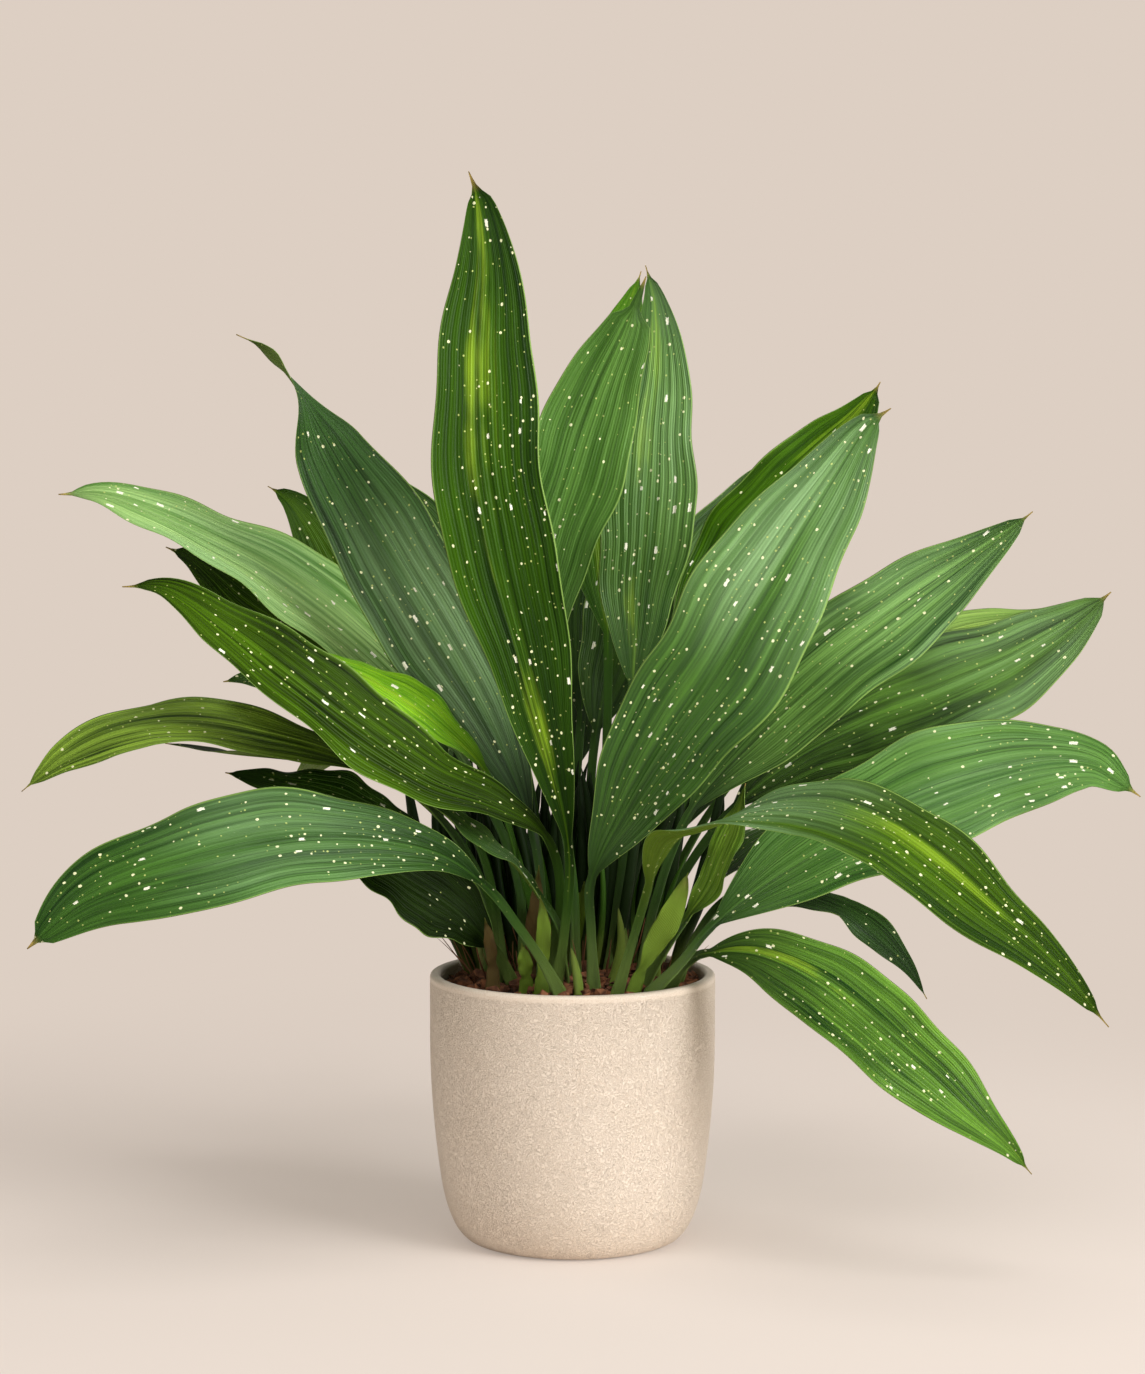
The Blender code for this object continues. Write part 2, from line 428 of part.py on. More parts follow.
def rhizome_rings(path, spare=0.0):
    """Half-round sections, flat side up and level with the soil, along a path given in centimetres.
    The groove's cutter has spare room on every side, and stands clear of the soil's top."""
    level = SOIL_TOP / CM
    samples = smooth_samples([Vector((x, y, level)) for x, y in path])
    count = 3 * (len(path) - 1) + 2
    stations = even_stations(samples, count)
    rings = []
    for i, (_, centre, _) in enumerate(stations):
        ahead, behind = stations[min(i + 1, count)][1], stations[max(i - 1, 0)][1]
        along = (ahead - behind).normalized()
        side = along.cross(UP)
        end = min(i, count - i)
        radius = RHIZOME_RADIUS * (0.55, 0.9, 1, 1)[min(end, 3)] * (1 + 0.06 * math.cos(i * 2.4)) + spare
        push = along * (spare if i == count else -spare if i == 0 else 0)
        ring = [centre * CM + push + side * radius * math.cos(math.pi * k / 6)
                - UP * (radius * RHIZOME_DEPTH + spare) * math.sin(math.pi * k / 6) for k in range(7)]
        if spare:
            ring += [ring[6] + UP * 0.005, ring[0] + UP * 0.005]
        rings.append(ring)
    return rings


def rhizomes_in(bed):
    for name, path in RHIZOMES.items():
        loft(name, rhizome_rings(path), ((0.30, 0.22, 0.12), 0.8))
        cutter = loft(name + "_groove", rhizome_rings(path, TOUCH), ((0, 0, 0), 1))
        cutter.hide_render = True
        cut = bed.modifiers.new(name, "BOOLEAN")
        cut.operation = "DIFFERENCE"
        cut.solver = "EXACT"
        cut.object = cutter


def spear_rings(path, radius):
    """Round sections that taper to a blunt point, along a path in centimetres from the soil up."""
    foot = Vector((*path[0], (SOIL_TOP + TOUCH) / CM))
    samples = smooth_samples([foot] + [Vector(point) for point in path[1:]])
    stations = even_stations(samples, 8)
    rings = []
    for i, (_, centre, _) in enumerate(stations):
        along = (stations[min(i + 1, 8)][1] - stations[max(i - 1, 0)][1]).normalized()
        side = along.cross(FRONT).normalized()
        front = side.cross(along)
        size = radius * (1, 1, 0.98, 0.94, 0.88, 0.78, 0.62, 0.42, 0.16)[i]
        rings.append([(centre + (side * math.cos(a) + front * math.sin(a)) * size) * CM
                      for a in (math.tau * k / 8 for k in range(8))])
    for point in rings[0]:
        point.z = SOIL_TOP + TOUCH
    return rings


def main():
    for obj in list(bpy.data.objects):
        bpy.data.objects.remove(obj)
    pot()
    rhizomes_in(soil())
    for name, leaf in LEAVES.items():
        sheath = name.startswith("sheath")
        rings = leaf_rings(leaf, SHEATH_STATIONS if sheath else LEAF_STATIONS)
        loft(name, rings, (SHEATH_GREEN if sheath else LEAF_GREEN, 0.45), twisted=True)
    for name, (path, radius) in SHOOTS.items():
        loft(name, spear_rings(path, radius), ((0.25, 0.35, 0.10), 0.5))


main()
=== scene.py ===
# %% [markdown]
# # A potted cast iron plant
#
# A cast iron plant (Aspidistra) sends up one leaf at a time from a creeping root stock, the rhizome. Each
# leaf has a slim, channelled stalk and a long leathery blade with lengthwise pleats. This variety is
# sprinkled with cream flecks. The plant grows in a plain sandy stoneware pot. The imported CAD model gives
# every piece's place, and this script gives each piece its fine shape and its finish.

# %% The frame
import math
import random
from collections import namedtuple

import bmesh
import bpy
from mathutils import Matrix, Vector, noise
from mathutils.geometry import interpolate_bezier


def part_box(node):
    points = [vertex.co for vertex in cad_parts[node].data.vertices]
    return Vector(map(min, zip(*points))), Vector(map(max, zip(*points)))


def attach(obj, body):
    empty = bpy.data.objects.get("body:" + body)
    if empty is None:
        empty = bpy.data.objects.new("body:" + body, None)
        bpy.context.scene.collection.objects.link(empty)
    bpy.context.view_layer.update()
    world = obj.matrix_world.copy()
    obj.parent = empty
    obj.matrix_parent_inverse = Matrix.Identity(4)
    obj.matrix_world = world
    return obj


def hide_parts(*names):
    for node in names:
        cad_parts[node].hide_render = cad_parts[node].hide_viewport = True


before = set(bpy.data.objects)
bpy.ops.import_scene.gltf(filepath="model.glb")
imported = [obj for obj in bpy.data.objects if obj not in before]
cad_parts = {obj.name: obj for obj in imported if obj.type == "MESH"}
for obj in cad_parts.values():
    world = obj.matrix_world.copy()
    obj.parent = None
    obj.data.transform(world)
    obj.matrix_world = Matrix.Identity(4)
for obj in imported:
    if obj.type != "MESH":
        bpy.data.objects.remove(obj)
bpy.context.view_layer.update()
scene = bpy.context.scene
CM = 0.01
FRONT, BACK = Vector((0, -1, 0)), Vector((0, 1, 0))
LEFT, RIGHT = Vector((-1, 0, 0)), Vector((1, 0, 0))
UP, DOWN = Vector((0, 0, 1)), Vector((0, 0, -1))
pot_low, pot_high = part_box("pot")
POT_RADIUS = (pot_high[0] - pot_low[0]) / 2
POT_HEIGHT = pot_high[2]
SOIL_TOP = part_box("potting_soil")[1][2]
print(f"pot {2000 * POT_RADIUS:.0f} mm across and {1000 * POT_HEIGHT:.0f} mm high")
print(f"soil up to {1000 * SOIL_TOP:.1f} mm")

# %% [markdown]
# ## Writing a material as sums
#
# A material is a net of nodes. Wiring it by hand is slow to write and hard to read, so a small class wraps
# one output socket and turns `+`, `*` or `>` into a Math node. A second class holds the material and has one
# method that makes any other node. A finish can then be written as an expression.

# %% Two helpers for materials
class Wire:
    """One output of a node, which can be used in a sum."""

    def __init__(self, paint, socket):
        self.paint, self.socket = paint, socket

    def math(self, operation, first, second=0.0):
        return self.paint.node("Math", {0: first, 1: second}, operation=operation)

    def __add__(self, other):
        return self.math("ADD", self, other)

    def __sub__(self, other):
        return self.math("SUBTRACT", self, other)

    def __rsub__(self, other):
        return self.math("SUBTRACT", other, self)

    def __mul__(self, other):
        return self.math("MULTIPLY", self, other)

    def __truediv__(self, other):
        return self.math("DIVIDE", self, other)

    def __gt__(self, other):
        return self.math("GREATER_THAN", self, other)

    def __abs__(self):
        return self.math("ABSOLUTE", self)

    def larger(self, other):
        return self.math("MAXIMUM", self, other)

    def sine(self):
        return self.math("SINE", self)

    __radd__, __rmul__ = __add__, __mul__


class Paint:
    """A material on a Principled shader."""

    def __init__(self, name, **fixed):
        self.material = bpy.data.materials.new(name)
        self.material.use_nodes = True
        self.tree = self.material.node_tree
        self.shader = self.tree.nodes["Principled BSDF"]
        for socket, value in fixed.items():
            self.shader.inputs[socket.replace("_", " ")].default_value = value

    def put(self, socket, value):
        if isinstance(value, Wire):
            self.tree.links.new(value.socket, socket)
        elif isinstance(value, tuple) and socket.type == "RGBA":
            socket.default_value = (*value[:3], 1)
        else:
            socket.default_value = value

    def node(self, kind, values=None, out=0, **settings):
        made = self.tree.nodes.new("ShaderNode" + kind)
        for setting, value in settings.items():
            setattr(made, setting, value)
        for socket, value in (values or {}).items():
            self.put(made.inputs[socket], value)
        return Wire(self, made.outputs[out])

    def outs(self, wire, *names):
        return [Wire(self, wire.socket.node.outputs[name]) for name in names]

    def uv(self, name):
        """The two values of a UV map."""
        place = self.node("UVMap", uv_map=name)
        split = self.node("SeparateXYZ", {0: place})
        return self.outs(split, "X", "Y")

    def vector(self, x=0.0, y=0.0, z=0.0):
        return self.node("CombineXYZ", {0: x, 1: y, 2: z})

    def noise(self, vector, scale=1.0, detail=2.0, roughness=0.5):
        values = {"Vector": vector, "Scale": scale, "Detail": detail, "Roughness": roughness}
        return self.node("TexNoise", values)

    def ease(self, value, low, high):
        """0 below low, 1 above high, and a soft step between them. The two may be the other way round."""
        return self.node("MapRange", {"Value": value, 1: low, 2: high, 3: 0.0, 4: 1.0},
                         interpolation_type="SMOOTHSTEP")

    def blend(self, factor, first, second):
        """The first colour where factor is 0, and the second where it is 1."""
        return self.node("Mix", {0: factor, 6: first, 7: second}, out=2, data_type="RGBA")

    def finish(self, colour=None, roughness=None, height=None, depth=0.001):
        for socket, value in (("Base Color", colour), ("Roughness", roughness)):
            if value is not None:
                self.put(self.shader.inputs[socket], value)
        if height is not None:
            bump = self.node("Bump", {"Height": height, "Distance": depth, "Strength": 1.0})
            self.put(self.shader.inputs["Normal"], bump)
        return self.material


print("helpers ready: Wire for sums, Paint for materials")

# %% [markdown]
# ## From rings to a skin
#
# A leaf, a stalk, a shoot and a rhizome are all long bodies whose cross-section changes on the way. Such a
# body is easy to describe as a row of rings. One grid is laid over them, row by row. Its side seam is
# welded and its ends are filled, so that each piece is one closed skin.

# %% A skin over rings
def closed_shape(rings, uvs=None, marks=None):
    """A closed body over rings of equal size. uvs is {map name: rows of (u, v)}, and marks is
    {attribute name: rows of a value}."""
    around = len(rings[0])
    shape = bmesh.new()
    bmesh.ops.create_grid(shape, x_segments=around, y_segments=len(rings) - 1, size=1)
    layers = {key: shape.loops.layers.uv.new(key) for key in uvs or {}}
    tags = {key: shape.verts.layers.float.new(key) for key in marks or {}}
    shape.verts.index_update()
    shape.verts.ensure_lookup_table()
    places = {}
    for row, ring in enumerate(rings):
        for i in range(around + 1):
            vert = shape.verts[row * (around + 1) + i]
            vert.co = ring[i % around]
            places[vert.index] = row, i % around
            for key, tag in tags.items():
                vert[tag] = marks[key][row][i % around]
    for face in shape.faces:
        face.smooth = True
        for loop in face.loops:
            row, i = places[loop.vert.index]
            for key, layer in layers.items():
                loop[layer].uv = uvs[key][row][i]
    bmesh.ops.remove_doubles(shape, verts=shape.verts, dist=1e-7)
    bmesh.ops.holes_fill(shape, edges=[edge for edge in shape.edges if edge.is_boundary], sides=0)
    bmesh.ops.recalc_face_normals(shape, faces=shape.faces)
    return shape


def skin(name, rings, uvs=None, marks=None):
    return as_object(name, closed_shape(rings, uvs, marks))


def bundle(name, bodies):
    """One object for many small closed bodies, each given as its rings."""
    whole = bmesh.new()
    passing = bpy.data.meshes.new("passing")
    for rings in bodies:
        shape = closed_shape(rings)
        shape.to_mesh(passing)
        shape.free()
        whole.from_mesh(passing)
    bpy.data.meshes.remove(passing)
    return as_object(name, whole)


def as_object(name, shape):
    mesh = bpy.data.meshes.new(name)
    shape.to_mesh(mesh)
    shape.free()
    obj = bpy.data.objects.new(name, mesh)
    scene.collection.objects.link(obj)
    return obj


def settle(obj, slot, material, *nodes):
    """The piece gets its material, rides on the one body, and stands for its CAD nodes."""
    obj.data.materials.append(material)
    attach(obj, "root")
    if nodes:
        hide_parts(*nodes)
    return obj


def smooth_samples(points, steps=24):
    """Points along one smooth curve through the given ones, as (position in spans, point)."""
    last = len(points) - 1
    slopes = [(points[min(i + 1, last)] - points[max(i - 1, 0)]).normalized() for i in range(last + 1)]
    samples = []
    for i in range(last):
        reach = (points[i + 1] - points[i]).length / 3
        handles = points[i] + slopes[i] * reach, points[i + 1] - slopes[i + 1] * reach
        for step, point in enumerate(interpolate_bezier(points[i], *handles, points[i + 1], steps)):
            if step or not i:
                samples.append((i + step / (steps - 1), point))
    return samples


def even_stations(samples, count):
    """The samples taken again at count + 1 even distances: (position in spans, point, distance)."""
    distances = [0.0]
    for (_, a), (_, b) in zip(samples, samples[1:]):
        distances.append(distances[-1] + (b - a).length)
    stations, k = [], 0
    for i in range(count + 1):
        target = distances[-1] * i / count
        while k < len(samples) - 2 and distances[k + 1] < target:
            k += 1
        share = (target - distances[k]) / (distances[k + 1] - distances[k])
        (s0, p0), (s1, p1) = samples[k], samples[k + 1]
        stations.append((s0 + (s1 - s0) * share, p0.lerp(p1, share), target))
    return stations


def between(values, share):
    """The value at a share from 0 to 1 along an evenly spaced list, mixed from its two neighbours."""
    place = min(max(share, 0.0), 1.0) * (len(values) - 1)
    i = min(int(place), len(values) - 2)
    return values[i].lerp(values[i + 1], place - i)


print("a row of rings becomes one closed skin")

# %% [markdown]
# ## The leaves' routes
#
# The CAD model's leaves follow routes that were chosen, in centimetres: the stalk's foot and
# points, then the blade's points to its tip. The same routes are repeated here, because the fine leaves
# have to lie where the CAD's plain ones do. `faces` says where the upper side looks along the blade.

# %% Routes
Leaf = namedtuple("Leaf", "stalk blade width faces peak trough wave lean",
                  defaults=(0.45, 0.10, (0.25, 2.0, 0.0), 2.0))

LEAVES = {
    "leaf_centre_tall": Leaf(
        [(-1.2, -5.6), (-0.6, -5.6, 20.8)],
        [(-0.2, -6.0, 26.2), (-1.2, -7.0, 32.4), (-2.8, -8.0, 39.2), (-4.4, -8.6, 46.0),
         (-5.4, -8.6, 52.2), (-5.6, -8.0, 58.2), (-5.4, -7.0, 64.0), (-5.8, -6.4, 68.0),
         (-6.6, -6.0, 70.2)],
        7.0, (FRONT, FRONT), 0.55),
    "leaf_left_high": Leaf(
        [(-2.0, -2.4), (-2.0, -2.2, 22.6)],
        [(-2.6, -2.0, 27.4), (-4.6, -2.4, 33.0), (-7.4, -3.0, 38.4), (-10.6, -3.4, 43.8),
         (-13.8, -3.4, 49.2), (-16.4, -3.0, 53.8), (-18.0, -2.8, 56.8), (-20.2, -2.6, 59.2),
         (-21.8, -2.4, 60.0)],
        7.2, (FRONT, FRONT, FRONT, FRONT, FRONT, FRONT, FRONT + RIGHT * 0.3, UP + RIGHT + BACK * 0.2,
              BACK + UP * 0.8 + RIGHT * 0.3), 0.46, lean=2.5),
    "leaf_left_reaching": Leaf(
        [(-3.2, 0.4), (-3.8, 1.0, 24.4)],
        [(-7.2, 1.0, 31.8), (-11.4, 1.2, 37.4), (-15.8, 1.2, 41.4), (-20.4, 1.0, 44.8),
         (-24.6, 0.6, 47.0), (-28.6, 0.2, 48.8), (-31.2, 0.0, 49.6), (-33.8, -0.4, 49.6)],
        7.0, (FRONT + UP * 0.4, FRONT * 0.7 + UP, FRONT * 0.6 + UP, FRONT * 0.6 + UP), 0.52),
    "leaf_left_sloping": Leaf(
        [(-2.0, -4.2), (-0.8, -4.6, 23.0)],
        [(-1.6, -5.4, 27.4), (-4.6, -6.8, 29.8), (-9.0, -8.0, 31.8), (-14.0, -9.2, 35.4),
         (-18.0, -10.0, 38.6), (-21.6, -10.0, 41.4), (-24.2, -10.0, 43.2), (-26.0, -9.8, 44.0),
         (-28.4, -9.6, 44.0)],
        6.6, (FRONT + UP, FRONT * 0.7 + UP, FRONT * 0.8 + UP, FRONT * 0.5 + UP), 0.48),
    "leaf_left_slim": Leaf(
        [(-0.2, -4.0), (-0.8, -5.2, 21.4)],
        [(-2.0, -5.2, 23.6), (-3.8, -5.4, 26.0), (-5.4, -5.8, 27.2), (-7.2, -6.0, 28.4),
         (-9.6, -6.2, 30.6), (-11.8, -6.2, 33.2)],
        2.4, (FRONT * 0.3 + UP, FRONT * 0.3 + UP)),
    "leaf_left_young": Leaf(
        [(-1.6, 1.2), (-3.2, -0.4, 24.0)],
        [(-5.6, -4.0, 31.6), (-9.0, -4.4, 35.2), (-12.2, -4.8, 37.4), (-15.2, -5.2, 38.8),
         (-17.6, -5.8, 39.4)],
        3.4, (FRONT * 0.6 + UP, FRONT * 0.6 + UP)),
    "leaf_left_back": Leaf(
        [(-3.2, 4.2), (-5.0, 5.4, 24.0)],
        [(-8.6, 5.8, 30.8), (-11.4, 6.0, 36.2), (-14.8, 6.0, 42.4), (-17.4, 5.8, 47.0),
         (-19.0, 5.6, 49.0), (-20.6, 5.6, 50.0)],
        6.5, (FRONT, FRONT)),
    "leaf_left_behind": Leaf(
        [(-4.6, 3.0), (-5.6, 2.6, 24.4)],
        [(-9.6, 2.6, 31.0), (-13.6, 3.0, 35.8), (-18.2, 3.2, 39.8), (-22.0, 3.2, 42.4),
         (-25.0, 3.0, 45.0), (-27.2, 3.0, 46.0)],
        6.8, (FRONT * 0.7 + UP * 0.7, FRONT * 0.7 + UP * 0.7)),
    "leaf_left_hidden": Leaf(
        [(-4.4, -1.0), (-6.0, -2.4, 26.2)],
        [(-10.0, -3.0, 32.4), (-14.4, -3.8, 35.6), (-18.4, -4.4, 37.2), (-20.8, -4.6, 37.8),
         (-22.6, -4.8, 37.6)],
        5.0, (FRONT * 0.4 + UP, FRONT * 0.4 + UP)),
    "leaf_left_level": Leaf(
        [(-5.0, -2.6), (-5.6, -2.4, 23.0)],
        [(-9.4, -3.6, 29.4), (-14.8, -4.8, 32.6), (-20.2, -5.8, 34.2), (-25.2, -6.8, 35.0),
         (-29.4, -7.4, 34.4), (-32.4, -7.8, 33.0), (-34.0, -8.0, 31.8), (-35.2, -8.0, 30.8)],
        5.6, (FRONT * 0.4 + UP, FRONT * 0.4 + UP, FRONT * 0.6 + UP, FRONT), 0.5, lean=2.4),
    "leaf_left_edge_on": Leaf(
        [(-4.6, 1.4), (-6.2, 0.0, 24.6)],
        [(-9.8, -1.0, 29.4), (-14.6, -2.4, 32.0), (-18.8, -3.4, 32.6), (-22.6, -4.2, 33.0),
         (-26.4, -4.8, 33.6)],
        4.6, (FRONT * 0.1 + UP, BACK * 0.1 + UP)),
    "leaf_left_shaded": Leaf(
        [(-5.4, -0.6), (-6.2, -1.2, 23.0)],
        [(-9.4, -2.0, 26.6), (-13.4, -2.8, 28.8), (-16.6, -3.4, 30.2), (-19.8, -3.8, 31.0),
         (-22.6, -4.0, 31.6)],
        4.4, (FRONT * 0.7 + UP * 0.6, FRONT * 0.5 + UP)),
    "leaf_left_arching": Leaf(
        [(-0.6, -6.8), (-2.0, -7.2, 19.8), (-3.6, -7.6, 22.2)],
        [(-5.2, -8.2, 24.4), (-8.0, -9.6, 26.8), (-11.6, -11.2, 28.0), (-16.0, -12.8, 28.4),
         (-20.0, -14.0, 28.0), (-23.6, -14.8, 27.2), (-27.2, -15.0, 26.2), (-30.6, -15.0, 24.6),
         (-33.8, -15.0, 21.8)],
        7.2, (FRONT + UP * 0.6, FRONT + UP * 0.7, FRONT + UP * 0.6, FRONT + UP * 0.4), 0.56),
    "leaf_left_low": Leaf(
        [(-3.8, -3.0), (-4.4, -3.2, 18.6)],
        [(-5.2, -3.6, 20.0), (-7.6, -4.6, 22.6), (-10.6, -5.6, 24.8), (-13.4, -6.4, 26.6),
         (-16.2, -7.0, 28.2)],
        5.6, (FRONT + UP * 0.8, FRONT + UP * 0.8)),
    "leaf_centre_pale": Leaf(
        [(0.2, -2.4), (0.0, -1.6, 24.2)],
        [(-1.8, -1.0, 35.0), (-2.2, -1.0, 41.4), (-1.4, -1.0, 46.0), (0.2, -1.0, 51.4),
         (1.8, -1.0, 56.2), (3.2, -1.0, 59.6), (4.2, -1.0, 62.2), (4.8, -1.0, 63.8)],
        6.4, (FRONT, FRONT), 0.54),
    "leaf_centre_behind": Leaf(
        [(1.4, 4.2), (2.2, 5.0, 28.8)],
        [(2.4, 5.0, 39.6), (2.2, 5.0, 47.8), (2.2, 5.0, 53.8), (3.0, 5.0, 59.2), (4.0, 5.0, 62.4),
         (4.6, 5.0, 64.4)],
        6.0, (FRONT, FRONT)),
    "leaf_centre_right": Leaf(
        [(2.4, 0.4), (3.6, 1.4, 27.8)],
        [(4.0, 1.4, 36.6), (4.4, 1.2, 42.6), (4.8, 1.0, 47.8), (5.2, 1.0, 53.8), (5.6, 1.0, 59.0),
         (5.4, 1.0, 62.4), (4.8, 1.0, 64.6)],
        6.4, (FRONT, FRONT)),
    "leaf_right_striped": Leaf(
        [(3.8, 1.4), (4.8, 2.4, 27.0)],
        [(6.6, 3.0, 36.0), (9.4, 3.6, 42.2), (12.8, 4.0, 47.0), (15.8, 4.0, 50.8), (18.4, 4.0, 53.6),
         (19.8, 4.0, 55.6), (20.6, 4.0, 57.0)],
        6.8, (FRONT + UP * 0.3, FRONT + UP * 0.3), 0.5),
    "leaf_right_broad": Leaf(
        [(1.4, -5.2), (1.2, -5.2, 21.4)],
        [(1.2, -6.0, 24.8), (3.2, -7.2, 29.2), (5.8, -8.8, 33.8), (8.8, -10.0, 38.4),
         (11.6, -10.6, 43.2), (14.4, -10.6, 47.8), (16.8, -10.2, 51.6), (18.6, -9.8, 54.2),
         (20.0, -9.6, 55.2)],
        8.6, (FRONT + UP * 0.2, FRONT + UP * 0.3, FRONT + UP * 0.3, FRONT), 0.5, lean=1.9),
    "leaf_right_high": Leaf(
        [(4.4, -2.4), (5.4, -2.8, 22.8)],
        [(7.6, -3.4, 28.8), (11.2, -4.2, 33.4), (15.4, -4.8, 37.6), (19.8, -5.2, 41.2),
         (24.2, -5.2, 44.4), (27.4, -5.2, 46.8), (29.6, -5.2, 48.6)],
        6.8, (FRONT + UP * 0.5, FRONT + UP * 0.5), 0.48),
    "leaf_right_middle": Leaf(
        [(5.2, 0.2), (6.6, 1.0, 22.6)],
        [(10.4, 0.4, 28.4), (15.0, 0.0, 32.2), (19.2, -0.2, 34.4), (23.8, -0.6, 36.2),
         (28.2, -0.8, 38.2), (31.6, -1.0, 40.2), (33.8, -1.0, 41.8), (35.4, -1.0, 43.2)],
        7.6, (FRONT + UP * 0.5, FRONT + UP * 0.5), 0.52),
    "leaf_right_pale": Leaf(
        [(4.8, 3.6), (7.4, 4.6, 24.6)],
        [(11.6, 4.4, 31.0), (16.6, 4.0, 35.2), (21.4, 3.6, 38.0), (26.0, 3.2, 40.0), (30.6, 3.0, 41.2),
         (34.6, 3.0, 42.2)],
        6.0, (FRONT * 0.5 + UP, FRONT * 0.5 + UP)),
    "leaf_right_wide": Leaf(
        [(4.8, -6.0), (7.0, -6.0, 19.4)],
        [(8.8, -6.0, 21.6), (11.6, -6.0, 24.0), (14.8, -6.0, 26.2), (18.6, -6.0, 28.4),
         (23.0, -6.2, 30.4), (27.2, -6.4, 31.8), (30.8, -6.8, 32.6), (33.4, -7.0, 32.4),
         (35.0, -7.2, 31.4), (36.4, -7.4, 30.4)],
        8.2, (FRONT + UP * 0.6, FRONT + UP * 0.6, FRONT + UP * 0.6, FRONT + UP * 0.4), 0.5),
    "leaf_right_twisted": Leaf(
        [(2.8, -6.6), (3.8, -7.2, 20.8)],
        [(4.8, -7.8, 24.4), (5.2, -8.6, 26.4), (6.0, -9.8, 28.0), (8.0, -12.0, 29.0),
         (10.6, -14.4, 30.2), (13.6, -16.6, 30.8), (16.2, -18.6, 30.6), (19.0, -20.4, 29.6),
         (21.8, -21.8, 27.6), (24.6, -23.0, 25.4), (27.2, -23.6, 23.4), (29.4, -24.0, 21.4),
         (31.8, -24.0, 18.6)],
        6.6, (BACK + LEFT * 0.5, BACK * 0.6 + UP * 0.6 + LEFT * 0.4, FRONT * 0.3 + UP, FRONT * 0.8 + UP,
              FRONT * 0.6 + UP, FRONT * 0.9 + UP * 0.8, FRONT + UP * 0.7, FRONT + UP * 0.6), 0.46),
    "leaf_right_low": Leaf(
        [(6.2, -4.4), (7.2, -5.0, 19.0)],
        [(8.6, -5.8, 20.0), (12.0, -7.4, 20.2), (15.8, -9.0, 18.6), (19.4, -10.4, 15.8),
         (22.8, -11.4, 13.0), (25.6, -12.0, 10.4), (27.6, -12.2, 8.6), (29.0, -12.4, 7.0)],
        6.0, (FRONT + UP * 0.6, FRONT + UP * 0.6)),
    "leaf_right_drooping": Leaf(
        [(6.8, -1.6), (8.2, -2.2, 20.6)],
        [(10.2, -2.8, 23.2), (12.8, -3.4, 23.8), (15.2, -4.0, 23.4), (17.6, -4.6, 22.6),
         (19.2, -5.0, 21.6), (21.0, -5.4, 20.0), (22.0, -5.6, 18.8), (23.0, -5.8, 17.0)],
        3.4, (FRONT * 0.8 + UP, FRONT * 0.3 + UP, FRONT + DOWN * 0.3), 0.35),
    "leaf_right_strap": Leaf(
        [(4.4, -4.2), (6.0, -4.6, 20.0)],
        [(7.4, -4.8, 22.2), (8.8, -5.0, 24.2), (9.8, -5.0, 26.6), (10.6, -5.0, 28.6),
         (11.2, -5.0, 31.0)],
        2.4, (FRONT + LEFT, FRONT + LEFT)),
    "leaf_back_centre_dark": Leaf(
        [(1.4, 5.4), (1.2, 6.8, 28.0)],
        [(1.6, 7.2, 33.0), (2.8, 8.0, 38.0), (4.4, 8.6, 43.0), (6.2, 9.0, 48.0), (7.6, 9.0, 52.0)],
        6.0, (FRONT, FRONT)),
    "leaf_back_centre_olive": Leaf(
        [(-0.6, 4.6), (0.0, 6.6, 26.0)],
        [(0.6, 9.4, 34.0), (1.2, 11.4, 40.0), (1.6, 13.2, 46.0), (2.0, 14.2, 51.0), (2.2, 14.6, 54.0)],
        6.0, (FRONT + UP * 0.3, FRONT + UP * 0.3)),
    "leaf_back_left_low": Leaf(
        [(-3.0, 5.8), (-4.6, 8.0, 21.0)],
        [(-6.0, 10.4, 25.0), (-9.0, 14.0, 28.4), (-12.4, 18.0, 30.4), (-16.0, 22.0, 30.4),
         (-19.0, 25.4, 28.8), (-21.4, 28.0, 26.0)],
        7.2, (UP, UP)),
    "leaf_back_right_low": Leaf(
        [(3.8, 5.6), (5.0, 8.0, 21.0)],
        [(6.6, 10.4, 25.0), (9.6, 14.0, 29.6), (13.4, 18.0, 32.4), (17.4, 21.4, 33.4),
         (21.4, 24.4, 32.4), (24.4, 26.4, 30.0)],
        7.4, (UP, UP)),
    "leaf_back_arching": Leaf(
        [(0.2, 6.8), (0.4, 9.2, 24.0)],
        [(0.2, 12.4, 30.0), (-0.2, 17.0, 35.4), (-0.8, 22.0, 38.8), (-1.6, 27.0, 40.0),
         (-2.4, 31.4, 39.0), (-3.2, 34.6, 36.4)],
        7.8, (FRONT * 0.3 + UP, UP)),
    "leaf_back_left_high": Leaf(
        [(-1.6, 5.8), (-2.4, 7.4, 26.0)],
        [(-3.6, 9.0, 32.0), (-6.2, 11.6, 38.6), (-9.4, 14.0, 44.0), (-12.6, 16.0, 48.6),
         (-15.4, 17.2, 52.0)],
        7.0, (FRONT + UP * 0.4, FRONT + UP * 0.4)),
    "leaf_back_right_high": Leaf(
        [(2.6, 6.4), (3.4, 8.0, 26.0)],
        [(4.8, 9.8, 32.0), (7.4, 12.4, 39.0), (10.4, 14.8, 45.0), (13.2, 16.8, 49.6),
         (15.6, 18.0, 52.4)],
        7.0, (FRONT + UP * 0.4, FRONT + UP * 0.4)),
    "leaf_back_far_left": Leaf(
        [(-4.8, 4.8), (-6.4, 6.8, 19.6)],
        [(-8.8, 8.4, 22.0), (-12.6, 10.6, 24.0), (-16.6, 12.6, 24.4), (-20.6, 14.6, 23.6),
         (-24.0, 16.0, 22.0), (-26.6, 17.0, 20.0)],
        6.6, (UP, UP)),
    "leaf_back_far_right": Leaf(
        [(5.6, 4.6), (7.0, 7.0, 19.6)],
        [(9.4, 8.6, 22.2), (13.0, 10.6, 25.0), (17.0, 12.6, 26.4), (21.0, 14.6, 26.6),
         (24.6, 16.0, 25.4), (27.4, 17.2, 23.4)],
        6.8, (UP, UP)),
    "sheath_pale": Leaf(
        [(-2.0, -6.0)],
